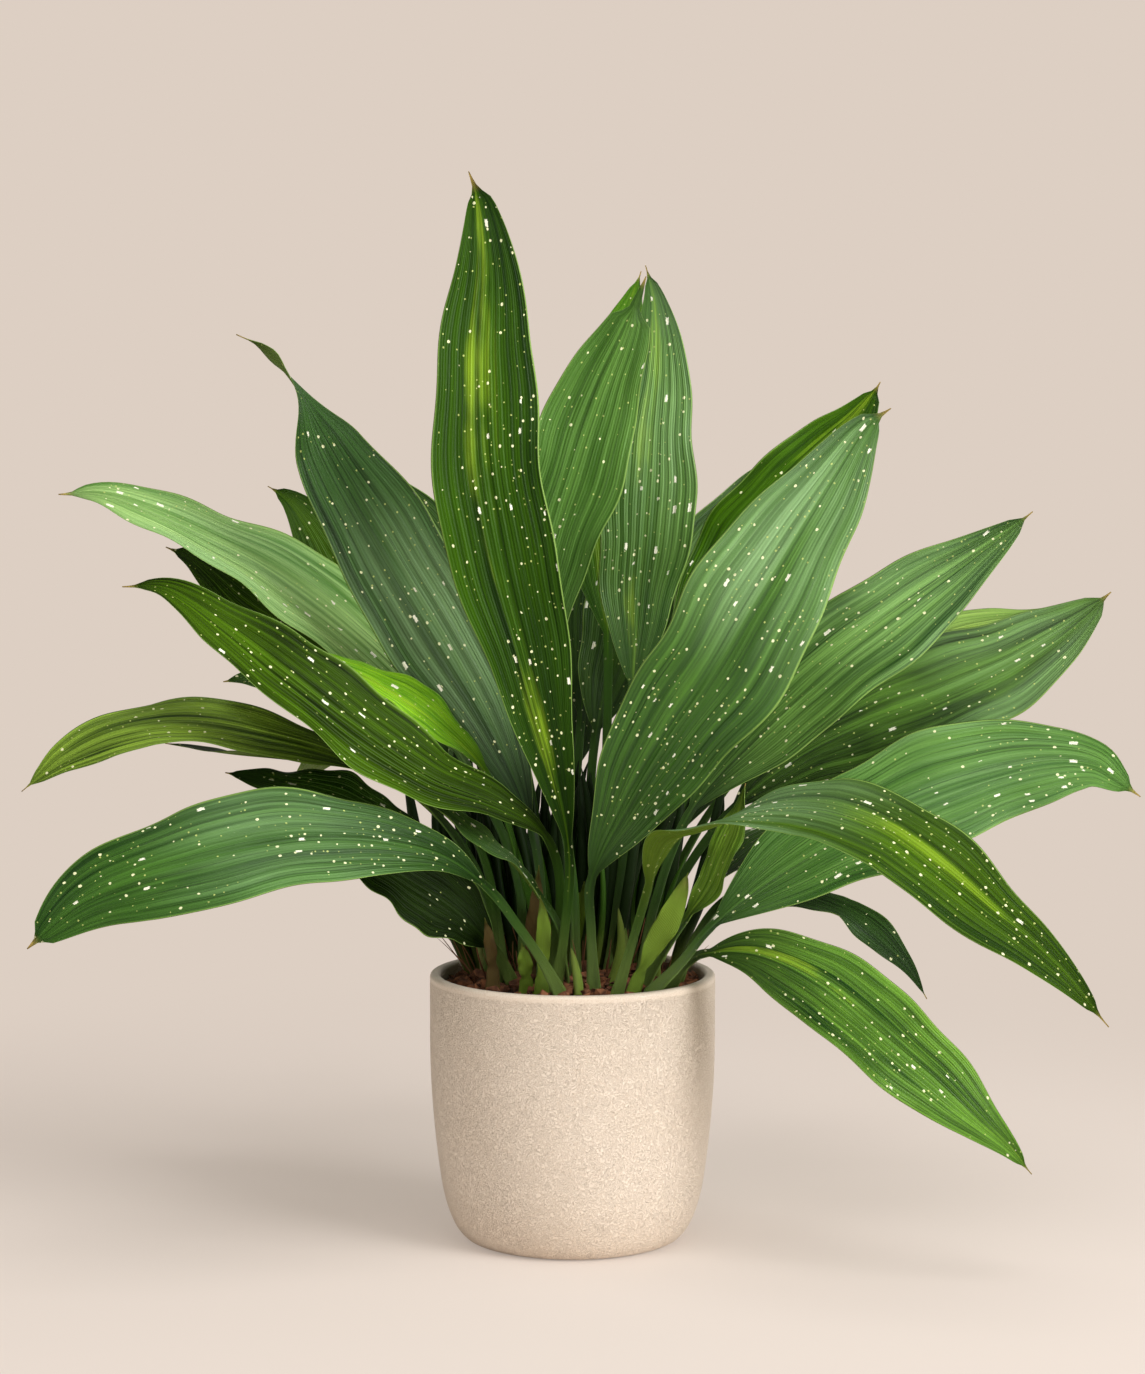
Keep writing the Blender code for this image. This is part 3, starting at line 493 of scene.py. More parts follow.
        [(-2.0, -6.0, 18.4), (-1.9, -5.9, 20.6), (-1.9, -5.9, 22.4), (-2.1, -5.9, 23.8)],
        1.0, (FRONT, FRONT)),
    "sheath_broad": Leaf(
        [(3.9, -5.6)],
        [(4.3, -5.5, 18.4), (5.4, -5.3, 20.6), (6.6, -5.3, 22.8), (7.5, -5.3, 25.2)],
        1.6, (FRONT, FRONT), 0.5),
    "sheath_stub": Leaf(
        [(-3.0, -5.4)],
        [(-3.0, -5.4, 18.2), (-3.1, -5.4, 19.4), (-3.3, -5.4, 20.6)],
        1.0, (FRONT, FRONT), 0.4),
    "sheath_brown": Leaf(
        [(-2.8, -3.4)],
        [(-2.8, -3.4, 18.6), (-2.5, -3.4, 21.2), (-2.3, -3.3, 23.6), (-2.2, -3.2, 25.4)],
        1.2, (FRONT, FRONT), 0.4),
    "sheath_dry_left": Leaf(
        [(-5.2, -4.7)],
        [(-5.2, -4.7, 18.8), (-5.4, -4.8, 20.6), (-5.7, -5.0, 22.2)],
        0.8, (FRONT, FRONT), 0.4),
    "sheath_back": Leaf(
        [(0.4, 3.0)],
        [(0.4, 3.0, 18.6), (0.5, 3.2, 21.0), (0.8, 3.4, 23.4)],
        1.4, (FRONT, FRONT), 0.4),
}

print(len(LEAVES), "leaf and sheath routes")

# %% [markdown]
# ## A leaf's shape
#
# A flat cut-out bent along the route would look like card. A real blade has a groove along its midrib, eight
# to ten soft lengthwise pleats, and edges that ripple because they grew faster than the middle. Its stalk is
# thick, with a channel along its upper side, and its tip is drawn out thin. All of that is one height over
# the flat outline, so it is worked out here as sums of a few simple waves.

# %% Leaf shape
LEAF_STATIONS = 110
LEAF_POINTS = 52  # across the upper side
STALK_WIDTH, STALK_THICK = 0.62, 0.42  # cm
SHEATH_WIDTH, SHEATH_LENGTH = 1.05, 4.5  # cm
BLADE_THICK, MIDRIB_THICK = 0.05, 0.20  # cm
TIP_WIDTH = 0.06  # cm
PLEATS = 5.5  # on each side of the midrib
PLEAT_HEIGHT = 0.045  # cm
GROOVE_WIDTH, GROOVE_DEPTH = 0.22, 0.07  # cm, over the midrib
CHANNEL = 0.32  # how deep the stalk's channel is, as a share of its thickness
RIPPLE_HEIGHT = 0.10  # cm, the short waves of the edge
EDGE_WANDER = 0.05  # share of the half width
STALK_TURNS = 0.12  # the stalk's section turns into the blade's over this share before the blade's base
WHIP_FROM, WHIP_STEP, WHIP_WIDTH = 0.955, 0.02, 0.35  # the tip narrows to this share over this step
EARLY_WHIP_FROM = 0.90  # in the pale middle leaf
FLAG_AT, FLAG_REACH, FLAG_WIDTH = 0.925, 0.028, 1.1  # the wider flag beyond the twist in one leaf's tip
ROUTE_STEPS = 200  # how finely the blade's base is looked for
TOUCH = 0.0003  # m, between the soil and a foot


def own_number(name, parts=97):
    """A number from 0 to 1 that comes from a leaf's name, so that no two leaves ripple alike."""
    return sum(map(ord, name)) % parts / parts


def blade_outline(t, peak, lean):
    """The blade's width as a share of its widest, from its base at 0 to its tip at 1."""
    rise, fall = lean * peak, lean * (1 - peak)
    return (t / peak) ** rise * ((1 - t) / (1 - peak)) ** fall


def side_wander(t, seed, right):
    """How far the edge wanders in and out, as a share of the half width."""
    turn = 2.6 * t + seed * 5 + (0.37 if right else 0)
    finer = 5.3 * t + seed * 11 + (0.61 if right else 0)
    swing = math.sin(math.tau * turn) + 0.5 * math.sin(math.tau * finer)
    return 1 + EDGE_WANDER * swing * min(1, t * 5) * min(1, (1 - t) * 5)


def tip_shape(name, t):
    """Narrows the tip into a thin whip. One leaf also has a wider flag beyond the twist in its tip."""
    start = WHIP_FROM if name != "leaf_centre_pale" else EARLY_WHIP_FROM
    share = 1 - (1 - WHIP_WIDTH) * min(1, max(0, (t - start) / WHIP_STEP))
    if name == "leaf_left_high":
        share += FLAG_WIDTH * math.exp(-(((t - FLAG_AT) / FLAG_REACH) ** 2))
    return share


def cross_section(leaf, t, half, blend, seed):
    """The heights of the upper and of the lower side over s, the place from edge to edge, -1 to 1, in cm."""
    height, waves, phase = leaf.wave
    inside = min(max(t, 0.0), 1.0)
    ends = min(1, inside * 5) * min(1, (1 - inside) * 5)
    pleat = PLEAT_HEIGHT * math.sin(math.pi * inside) ** 0.5 * min(1, half / 2.2)

    def heights(s):
        edge = abs(s)
        turn = waves * inside + phase + (0.35 if s > 0 else 0)
        lift = leaf.trough * half * s * s + height * ends * s * s * math.sin(math.tau * turn)
        lift += RIPPLE_HEIGHT * ends * edge ** 4 * math.sin(math.tau * (turn * 2.7 + seed)) * min(1, half / 2)
        lift -= pleat * math.cos(math.tau * PLEATS * edge) * (1 - edge ** 6)
        groove = math.exp(-((s * half / GROOVE_WIDTH) ** 2))
        lift -= GROOVE_DEPTH * groove * blend * (1 - inside)
        round_off = math.sqrt(max(0.0, 1 - s * s))
        keel = BLADE_THICK + (MIDRIB_THICK * (1 - inside) ** 0.7) * groove
        thin = keel * min(1.0, round_off * 3)
        stalk_top = STALK_THICK * (0.5 * round_off - CHANNEL * round_off ** 3)
        stalk_bottom = -STALK_THICK * 0.5 * round_off
        top = lift * blend + stalk_top * (1 - blend)
        bottom = (lift - thin) * blend + stalk_bottom * (1 - blend)
        return top, bottom

    return heights


def leaf_piece(name, leaf, count=LEAF_STATIONS, points=LEAF_POINTS):
    """The fine leaf. Its UV map "blade" runs across, 0 to 1, and along, 0 at the blade's base to 1 at its
    tip. Its map "metric" is in centimetres. "under" marks its lower side."""
    seed = own_number(name)
    foot = Vector((*leaf.stalk[0], (SOIL_TOP + TOUCH) / CM))
    route = [foot] + [Vector(p) for p in (*leaf.stalk[1:], *leaf.blade)]
    samples = smooth_samples(route)
    stations = even_stations(samples, count)
    blade_from = next(d for s, _, d in even_stations(samples, ROUTE_STEPS) if s >= len(leaf.stalk))
    total = stations[-1][2]
    rings, blade_uv, metric_uv, under = [], [], [], []
    for i, (_, centre, distance) in enumerate(stations):
        t = (distance - blade_from) / (total - blade_from)
        inside = min(max(t, 0.0), 1.0)
        ahead, behind = stations[min(i + 1, count)][1], stations[max(i - 1, 0)][1]
        tangent = (ahead - behind).normalized()
        side = tangent.cross(between(leaf.faces, inside)).normalized()
        normal = side.cross(tangent)
        base = max(0.0, 1 - distance / SHEATH_LENGTH) ** 2
        stalk_half = (STALK_WIDTH + (SHEATH_WIDTH - STALK_WIDTH) * base) / 2
        blade_half = leaf.width / 2 * blade_outline(inside, leaf.peak, leaf.lean) * tip_shape(name, inside)
        half = max(blade_half, stalk_half * (1 - inside ** 0.5), TIP_WIDTH / 2)
        blend = min(max(t / STALK_TURNS + 1, 0), 1)
        heights = cross_section(leaf, t, half, blend, seed)
        across = [-1 + 2 * k / points for k in range(points + 1)]
        upper = [(s, heights(s)[0], 0.0) for s in across]
        lower = [(s, heights(s)[1], 1.0) for s in reversed(across[1:-1])]
        ring = upper + lower
        reach = [half * side_wander(inside, seed, right) for right in (False, True)]
        rings.append([(centre + side * s * reach[s > 0] + normal * lift) * CM for s, lift, _ in ring])
        blade_uv.append([((s + 1) / 2, t) for s, _, _ in ring])
        metric_uv.append([(s * half, distance) for s, _, _ in ring])
        under.append([mark for _, _, mark in ring])
    for point in rings[0]:
        point.z = SOIL_TOP + TOUCH
    return skin("fine_" + name, rings, {"blade": blade_uv, "metric": metric_uv}, {"under": under})


# %% [markdown]
# ## A leaf's finish
#
# Three things make the surface: long bands of lighter and darker green that follow the pleats, dozens of fine
# parallel veins, and the flecks. A fleck is a gap in the green, stretched along the leaf: many are small
# and yellowish, a few are long and nearly white. Each kind is a layer of Voronoi cells with one fleck in
# some of the cells, at a random size. The lower side is paler and plain.

# %% Leaf colours
def tint(red, green, blue):
    """A colour as it is seen on a screen, 0 to 255, in the linear values that a shader works in."""
    shares = (c / 255 for c in (red, green, blue))
    return tuple(c / 12.92 if c < 0.0405 else ((c + 0.055) / 1.055) ** 2.4 for c in shares)


# yellow is how much yellow-green streaks the blade, and flecks and dashes are how many it has. sheen is how
# strongly it mirrors. The last field is where along the blade a pale painted sheen, a painted highlight,
# lies, and how strong it is.
Look = namedtuple("Look", "dark light yellow flecks dashes sheen bloom",
                  defaults=(0.0, 1.0, 1.0, 0.22, (0.5, 0.0)))
GREEN = Look(tint(30, 62, 8), tint(72, 112, 30))
LOOKS = {
    "leaf_centre_tall": Look(tint(18, 46, 0), tint(54, 94, 2), 0.6, 1.1, 0.8, 0.10),
    "leaf_centre_pale": Look(tint(52, 94, 20), tint(92, 138, 54), 0.0, 0.6, 0.3, 0.25),
    "leaf_left_high": Look(tint(16, 44, 4), tint(66, 110, 44), 0.0, 0.8, 1.2, 0.25, (0.36, 1.0)),
    # partly painted light: this young leaf's bright lime is its own paler green with the glow of light
    # shining through it painted in
    "leaf_left_young": Look(tint(76, 138, 2), tint(150, 206, 34), 0.3, 0.5, 0.2, 0.2),
    "leaf_left_sloping": Look(tint(10, 22, 0), tint(72, 108, 6), 0.0, 0.8, 0.5, 0.08),
    "leaf_left_level": Look(tint(36, 60, 0), tint(146, 182, 60), 0.2, 0.8, 0.3, 0.2),
    "leaf_left_reaching": Look(tint(72, 126, 32), tint(176, 216, 128), 0.0, 0.9, 2.4, 0.35, (0.65, 0.6)),
    "leaf_left_back": Look(tint(40, 76, 2), tint(80, 118, 20), 0.0, 0.6, 0.2, 0.15),
    "leaf_left_behind": Look(tint(34, 62, 1), tint(70, 104, 10), 0.0, 0.7, 0.2, 0.15),
    "leaf_left_arching": Look(tint(20, 56, 3), tint(68, 114, 34), 0.0, 1.0, 0.8, 0.22, (0.45, 0.35)),
    "leaf_left_edge_on": Look(tint(30, 58, 12), tint(66, 100, 38), 0.0, 0.6, 0.3),
    # painted shade: this low leaf under the others gets a much darker green, for the shade it lies in
    "leaf_left_low": Look(tint(14, 30, 0), tint(36, 60, 4), 0.0, 0.7, 0.2, 0.08),
    "leaf_right_striped": Look(tint(16, 46, 0), tint(72, 118, 8), 0.8, 0.5, 0.2, 0.12),
    "leaf_right_broad": Look(tint(34, 74, 8), tint(80, 128, 40), 0.0, 1.1, 1.2, 0.35, (0.74, 0.95)),
    "leaf_right_high": Look(tint(26, 68, 4), tint(116, 164, 72), 0.0, 0.9, 0.6, 0.3, (0.7, 0.5)),
    "leaf_right_middle": Look(tint(6, 26, 0), tint(98, 144, 50), 0.0, 0.8, 0.4, 0.25, (0.75, 0.5)),
    "leaf_right_pale": Look(tint(108, 150, 58), tint(166, 202, 100), 0.2, 0.8, 0.5),
    "leaf_right_wide": Look(tint(48, 94, 20), tint(98, 146, 60), 0.0, 0.8, 3.2, 0.35, (0.6, 0.4)),
    "leaf_right_twisted": Look(tint(26, 54, 0), tint(74, 110, 4), 0.15, 1.2, 0.4, 0.15, (0.24, 1.0)),
    "leaf_right_low": Look(tint(20, 58, 1), tint(110, 160, 48), 0.2, 1.1, 1.4, 0.22),
    "leaf_right_drooping": Look(tint(24, 48, 12), tint(52, 84, 32), 0.0, 0.6, 0.2),
    "leaf_right_strap": Look(tint(78, 118, 16), tint(130, 168, 54), 0.2, 0.5, 0.2),
    "leaf_centre_right": Look(tint(48, 92, 18), tint(102, 148, 62), 0.45, 1.0, 1.8, 0.35, (0.6, 0.4)),
    "leaf_centre_behind": Look(tint(58, 112, 10), tint(112, 170, 40), 0.3, 0.5, 0.2, 0.2),
}
YELLOW_GREEN = tint(150, 186, 40)
UNDERSIDE = tint(92, 118, 30)
MARGIN = tint(140, 176, 84)
CREAM, TINY_FLECK, WHITE_FLECK = tint(238, 240, 190), tint(196, 208, 120), tint(250, 250, 226)
STALK_GREEN, STALK_PALE = tint(62, 100, 30), tint(120, 146, 70)
DRY_TIP = tint(188, 160, 84)
# painted sheen: the pale green of a highlight painted into the leaf colour
PAINTED_SHEEN_GREEN = tint(146, 186, 128)
print("leaf colours:", len(LOOKS), "kinds and a plain green one")


# %% Leaf finish
Fleck = namedtuple("Fleck", "cell stretch share radius shift metric", defaults=("EUCLIDEAN",))
TINY = Fleck(0.42, 1.1, 0.20, 0.048, 0.0)
SMALL = Fleck(0.66, 1.25, 0.32, 0.070, 0.3)
DASH = Fleck(1.0, 2.5, 0.26, 0.085, 0.7, "CHEBYCHEV")  # this way of measuring gives square ends
VEINS = 34  # across a blade
LEAF_BUMP = 0.0006  # m


def flecks(paint, x, y, kind, crowd, seed):
    """A mask of flecks: one in that share of the cells. A cell and a radius are in cm, and stretch is how
    much longer than wide a fleck is. crowd is how much of the kind's share a place has."""
    seed += kind.shift
    ragged = (paint.noise(paint.vector(x * 9, y * 9, seed * 13), 1.0, 1.0) - 0.5) * 0.10
    across, along = x / kind.cell + ragged, y / (kind.cell * kind.stretch) + ragged
    place = paint.vector(across + seed * 31, along + seed * 17)
    cells = paint.node("TexVoronoi", {"Vector": place, "Scale": 1.0, "Randomness": 0.9},
                       voronoi_dimensions="2D", feature="F1", distance=kind.metric)
    distance, colour = paint.outs(cells, "Distance", "Color")
    chance = paint.node("SeparateColor", {0: colour})
    pick, size = paint.outs(chance, "Red", "Green")
    reach = (size * 0.8 + 0.4) * (kind.radius / kind.cell)
    spot = paint.ease(distance - reach, 0.016 / kind.cell, -0.010 / kind.cell)
    return spot * (pick > 1 - crowd * kind.share)


def leaf_paint(name, look, seed):
    paint = Paint(name, Specular_IOR_Level=look.sheen)
    u, t = paint.uv("blade")
    x, y = paint.uv("metric")

    def streaks(across, along, shift, layer, detail, low, high):
        """A mask of long patches, so many across the blade and so many along it."""
        place = paint.vector(u * across + seed * shift, t * along, seed * layer)
        return paint.ease(paint.noise(place, 1.0, detail), low, high)

    under = paint.node("Attribute", attribute_name="under", out=2) > 0.5
    side = abs(u * 2 - 1)
    broad = streaks(7, 1.3, 40, 9, 2.0, 0.35, 0.65)
    bands = streaks(22, 1.6, 40, 9, 3.0, 0.34, 0.68)
    lines = streaks(95, 2.4, 7, 1, 2.0, 0.56, 0.74)
    patch = streaks(2.6, 4.0, 9, 5, 3.0, 0.36, 0.66)
    veins = (u * (math.tau * VEINS)).sine() * 0.5 + 0.5
    # a darker green, used for the lines along the blade and for the painted shade at its base
    deep = tuple(c * 0.45 for c in look.dark)
    green = paint.blend(bands * 0.5 + broad * 0.35 + patch * 0.3 - 0.05, look.dark, look.light)
    green = paint.blend(lines * 0.62, green, deep)
    # painted shade: the blade darkens towards its base, where the leaves around it shade it
    green = paint.blend(paint.ease(t, 0.42, 0.0) * 0.65, green, deep)
    if look.yellow:
        streak = paint.noise(paint.vector(u * 16 + seed * 20, t * 2.0, seed * 3), 1.0, 4.0)
        middle = paint.ease(abs(u - 0.42), 0.24, 0.02)
        tinge = paint.ease(streak * 0.5 + patch * 0.22 + middle * 0.28, 0.70 - look.yellow * 0.32, 0.86)
        green = paint.blend(tinge * (0.5 + look.yellow * 0.4), green, YELLOW_GREEN)
    # painted sheen: a pale patch along part of the blade stands in for the lamps' highlight
    if look.bloom[1]:
        where, strength = look.bloom
        painted_sheen_mask = streaks(6, 1.2, 70, 2, 3.0, 0.25, 0.75) * paint.ease(abs(t - where), 0.34, 0.04)
        green = paint.blend(painted_sheen_mask * (bands * 0.5 + 0.5) * strength, green, PAINTED_SHEEN_GREEN)
    rib = paint.ease(abs(x), 0.10, 0.03) * 0.35
    green = paint.blend(rib, green, look.light)
    margin = paint.ease(side, 0.962, 0.985)
    green = paint.blend(margin * 0.8, green, MARGIN)
    spread = paint.noise(paint.vector(x * 0.3 + seed * 8, y * 0.14, seed * 6), 1.0, 2.0)
    cluster = paint.ease(spread, 0.34, 0.60)
    crowded = (cluster * 0.8 + 0.35) * look.flecks
    tiny = flecks(paint, x, y, TINY, crowded, seed)
    small = flecks(paint, x, y, SMALL, crowded, seed)
    dashes = flecks(paint, x, y, DASH, cluster * look.dashes, seed)
    inner = paint.ease(side, 0.98, 0.94)
    spotted = paint.blend(tiny * 0.8 * inner, green, TINY_FLECK)
    spotted = paint.blend(small * inner, spotted, CREAM)
    spotted = paint.blend(dashes * inner, spotted, WHITE_FLECK)
    lower = paint.blend(bands * 0.35 + veins * 0.12, UNDERSIDE, look.light)
    lower = paint.blend(tiny.larger(small) * 0.7, lower, TINY_FLECK)
    blade = paint.blend(under, spotted, lower)
    stalk = paint.blend(paint.ease(y, 6.5, 0.5), STALK_GREEN, STALK_PALE)
    stalk = paint.blend(veins * 0.3, stalk, look.dark)
    colour = paint.blend(paint.ease(t, -0.10, 0.05), stalk, blade)
    colour = paint.blend(paint.ease(t, 0.965, 0.995), colour, DRY_TIP)
    rough = 0.34 + bands * 0.08 + under * 0.14 + small * 0.1
    height = veins * 0.4 + paint.noise(paint.vector(x * 3, y * 3, seed), 4.0, 3.0) * 0.4 - lines * 0.5
    return paint.finish(colour, rough, height, LEAF_BUMP)


# %% The leaves
for name, leaf in LEAVES.items():
    if name.startswith("leaf"):
        paint = leaf_paint(name, LOOKS.get(name, GREEN), own_number(name, 89))
        settle(leaf_piece(name, leaf), "leaf_green", paint, name)

# %% [markdown]
# ## Sheaths and shoots
#
# Papery scales, the sheaths, wrap the foot of each young stalk. They start pale green and dry to brown. A
# shoot is a leaf that is still rolled up. Both are small, so the leaf's own shape with fewer points will do
# for the sheaths, and a tapering row of round rings for the shoots.

# %% Sheaths and shoots
SHEATH_DRY, SHEATH_GREEN, SHEATH_TIP = tint(84, 52, 32), tint(112, 146, 40), tint(150, 158, 70)
SHOOT_GREEN, SHOOT_TIP = tint(132, 160, 62), tint(152, 168, 80)
DRY_SHEATHS = "sheath_brown", "sheath_dry_left"


def sheath_paint(name, fresh, tip):
    paint = Paint(name, Specular_IOR_Level=0.2)
    u, t = paint.uv("blade")
    x, y = paint.uv("metric")
    lines = (u * (math.tau * 16)).sine() * 0.5 + 0.5
    cloud = paint.noise(paint.vector(x * 2, y * 0.6, 0.0), 1.6, 4.0)
    colour = paint.blend(paint.ease(t + cloud * 0.5, 1.0, 1.4), fresh, tip)
    colour = paint.blend(lines * 0.3, colour, tip)
    return paint.finish(colour, 0.45 + cloud * 0.2, lines + cloud, 0.0005)


SHOOTS = {
    "shoot_low": ([(0.4, -6.5), (0.35, -6.4, 18.2), (0.1, -6.2, 19.6), (-0.1, -6.1, 20.4)], 0.32),
    "shoot_pale": ([(2.4, -3.6), (2.9, -3.5, 18.6), (3.2, -3.4, 20.4), (3.0, -3.4, 22.6)], 0.36),
}


def shoot_piece(name, path, radius, count=40, around=24):
    """A rolled leaf: round rings that taper, with the roll's edge as a small step that winds up it."""
    foot = Vector((*path[0], (SOIL_TOP + TOUCH) / CM))
    stations = even_stations(smooth_samples([foot] + [Vector(p) for p in path[1:]]), count)
    rings, blade_uv, metric_uv = [], [], []
    for i, (_, centre, distance) in enumerate(stations):
        along = (stations[min(i + 1, count)][1] - stations[max(i - 1, 0)][1]).normalized()
        side = along.cross(FRONT).normalized()
        front = side.cross(along)
        t = i / count
        size = radius * (1 - t ** 2.6) ** 0.75 + 0.02
        ring = []
        for k in range(around):
            a = math.tau * k / around
            roll = 1 - 0.14 * ((a / math.tau + t * 0.4) % 1)
            ring.append((centre + (side * math.cos(a) + front * math.sin(a)) * size * roll) * CM)
        rings.append(ring)
        blade_uv.append([(abs(1 - 2 * k / around), t) for k in range(around)])
        metric_uv.append([(math.cos(math.tau * k / around) * radius, distance) for k in range(around)])
    for point in rings[0]:
        point.z = SOIL_TOP + TOUCH
    return skin("fine_" + name, rings, {"blade": blade_uv, "metric": metric_uv})


for name, leaf in LEAVES.items():
    if name.startswith("sheath"):
        piece = leaf_piece(name, leaf, 40, 20)
        dry = name in DRY_SHEATHS
        paint = sheath_paint(name, SHEATH_DRY if dry else SHEATH_GREEN, SHEATH_TIP)
        settle(piece, "dry_sheath" if dry else "sheath", paint, name)
for name, (path, radius) in SHOOTS.items():
    settle(shoot_piece(name, path, radius), "shoot", sheath_paint(name, SHOOT_GREEN, SHOOT_TIP), name)
print("sheaths and shoots made")

# %% [markdown]
# ## The pot
#
# The pot is turned: one profile, spun about the Z axis. Spinning it in many steps gives a true circle. The
# clay is sandy, so its skin is full of fine worm-like pits with darker grains, and only the lip is
# smoothed by the potter's finger.

# %% Pot
POT_WALL, LIP = 0.0072, 0.0026
OUTSIDE = [(0.066, 0.0), (0.0700, 0.0008), (0.0730, 0.0025), (0.0780, 0.0085), (0.0822, 0.0175),
           (0.0857, 0.029), (0.0884, 0.044), (0.0920, 0.074), (0.0943, 0.105), (0.0950, 0.130),
           (POT_RADIUS, 0.150)]
SPIN_STEPS = 144
WORM_SPREAD, WORM_TURNS = 330, 42  # a wobbling noise, and how often a worm crosses its rise
POT_BUMP = 0.0006  # m


def pot_piece():
    lip_arc = [(POT_RADIUS - LIP + LIP * math.cos(a), POT_HEIGHT - LIP + LIP * math.sin(a))
               for a in (math.radians(10 * k) for k in range(10))]
    inner_arc = [(POT_RADIUS - POT_WALL + LIP - LIP * math.cos(a), POT_HEIGHT - LIP + LIP * math.sin(a))
                 for a in (math.radians(90 - 10 * k) for k in range(10))]
    inside = [(POT_RADIUS - POT_WALL, SOIL_TOP - 0.006), (POT_RADIUS - POT_WALL, 0.130), (0.0848, 0.074),
              (0.0785, 0.029), (0.066, 0.0105), (0.030, 0.010)]
    route = smooth_samples([Vector((r, 0, z)) for r, z in OUTSIDE], 6)
    profile = [(p.x, max(p.z, 0.0)) for _, p in route] + lip_arc + inner_arc + inside
    shape = bmesh.new()
    chain = [shape.verts.new((r, 0, z)) for r, z in profile]
    for first, second in zip(chain, chain[1:]):
        shape.edges.new((first, second))
    bmesh.ops.spin(shape, geom=shape.verts[:] + shape.edges[:], axis=UP, cent=(0, 0, 0), steps=SPIN_STEPS,
                   angle=math.tau, use_merge=True)
    bmesh.ops.remove_doubles(shape, verts=shape.verts, dist=1e-6)
    bmesh.ops.holes_fill(shape, edges=[e for e in shape.edges if e.is_boundary], sides=0)
    bmesh.ops.recalc_face_normals(shape, faces=shape.faces)
    for face in shape.faces:
        face.smooth = len(face.verts) == 4
    return as_object("fine_pot", shape)


def stoneware_paint():
    paint = Paint("stoneware", Specular_IOR_Level=0.4)
    place = paint.node("TexCoord", out=3)
    split = paint.node("SeparateXYZ", {0: place})
    height = paint.outs(split, "Z")[0]
    wobble = paint.noise(place, WORM_SPREAD, 1.0)
    worms = paint.ease((wobble * WORM_TURNS).sine(), 0.1, 0.9)
    pits = paint.ease(paint.noise(place, 900, 3.0, 0.6), 0.56, 0.68)
    grains = paint.ease(paint.noise(place, 1500, 1.0), 0.66, 0.72)
    specks = paint.node("TexVoronoi", {"Vector": place, "Scale": 260.0}, feature="F1")
    dark_specks = paint.ease(specks, 0.14, 0.06)
    cloud = paint.noise(place, 16, 4.0)
    low = paint.ease(height, 0.070, 0.0)
    smooth_lip = paint.ease(height, POT_HEIGHT - 0.0055, POT_HEIGHT - 0.0035)
    colour = paint.blend(cloud, tint(229, 213, 194), tint(236, 223, 207))
    colour = paint.blend(worms * 0.26, colour, tint(200, 174, 146))
    colour = paint.blend(pits * 0.15, colour, tint(186, 160, 134))
    colour = paint.blend(grains * 0.4, colour, tint(250, 243, 232))
    colour = paint.blend(dark_specks * 0.2, colour, tint(160, 134, 108))
    colour = paint.blend(low * 0.15, colour, tint(190, 166, 140))
    rough = 0.62 - smooth_lip * 0.22 + pits * 0.1
    relief = (0.0 - worms * 0.6 - pits * 0.5) * (1 - smooth_lip * 0.9)
    return paint.finish(colour, rough, relief, POT_BUMP)


settle(pot_piece(), "stoneware", stoneware_paint(), "pot")
print("pot made")

# %% [markdown]
# ## Soil, rhizomes and bark
#
# The potting mix is dark and loose. A finely divided disc is pushed up and down by noise for the bed. Bark
# chips and crumbs lie on it as small separate shapes, because their edges catch light as no bump can.

# %% Soil
random.seed(5)
SOIL_EDGE_RADIUS = POT_RADIUS - POT_WALL - 0.0003
HEAP_HEIGHT, HEAP_RADIUS = 0.006, 0.075
BED_SPOKES, BED_RINGS = 150, 46
BED_BOTTOM, BED_EYE = 0.150, 0.0015  # the skirt's height, and the radius of the innermost ring


def bed_height(radius):
    """The bed's mean height: heaped in the middle, and lowest at the wall."""
    fall = max(0.0, (radius - 0.070) / (SOIL_EDGE_RADIUS - 0.070))
    heap = HEAP_HEIGHT * max(0.0, 1 - (radius / HEAP_RADIUS) ** 2)
    return SOIL_TOP - 0.0010 - 0.0022 * fall ** 1.5 + heap


def soil_piece():
    shape = bmesh.new()
    bmesh.ops.create_grid(shape, x_segments=BED_SPOKES, y_segments=BED_RINGS, size=1)
    shape.verts.ensure_lookup_table()
    for row in range(BED_RINGS + 1):
        share = row / BED_RINGS
        radius = SOIL_EDGE_RADIUS * (1 - share) + BED_EYE * share
        for i in range(BED_SPOKES + 1):
            turn = math.tau * (i % BED_SPOKES) / BED_SPOKES
            x, y = radius * math.cos(turn), radius * math.sin(turn)
            lumps = noise.noise(Vector((x, y, 0)) * 260) * 0.0009
            lumps += noise.noise(Vector((x, y, 3)) * 700) * 0.0004
            z = BED_BOTTOM if row == 0 else bed_height(radius) + lumps * (row > 1)
            shape.verts[row * (BED_SPOKES + 1) + i].co = x, y, z
    bmesh.ops.remove_doubles(shape, verts=shape.verts, dist=1e-7)
    bmesh.ops.holes_fill(shape, edges=[e for e in shape.edges if e.is_boundary], sides=0)
    bmesh.ops.recalc_face_normals(shape, faces=shape.faces)
    for face in shape.faces:
        face.smooth = True
    return as_object("soil_bed", shape)


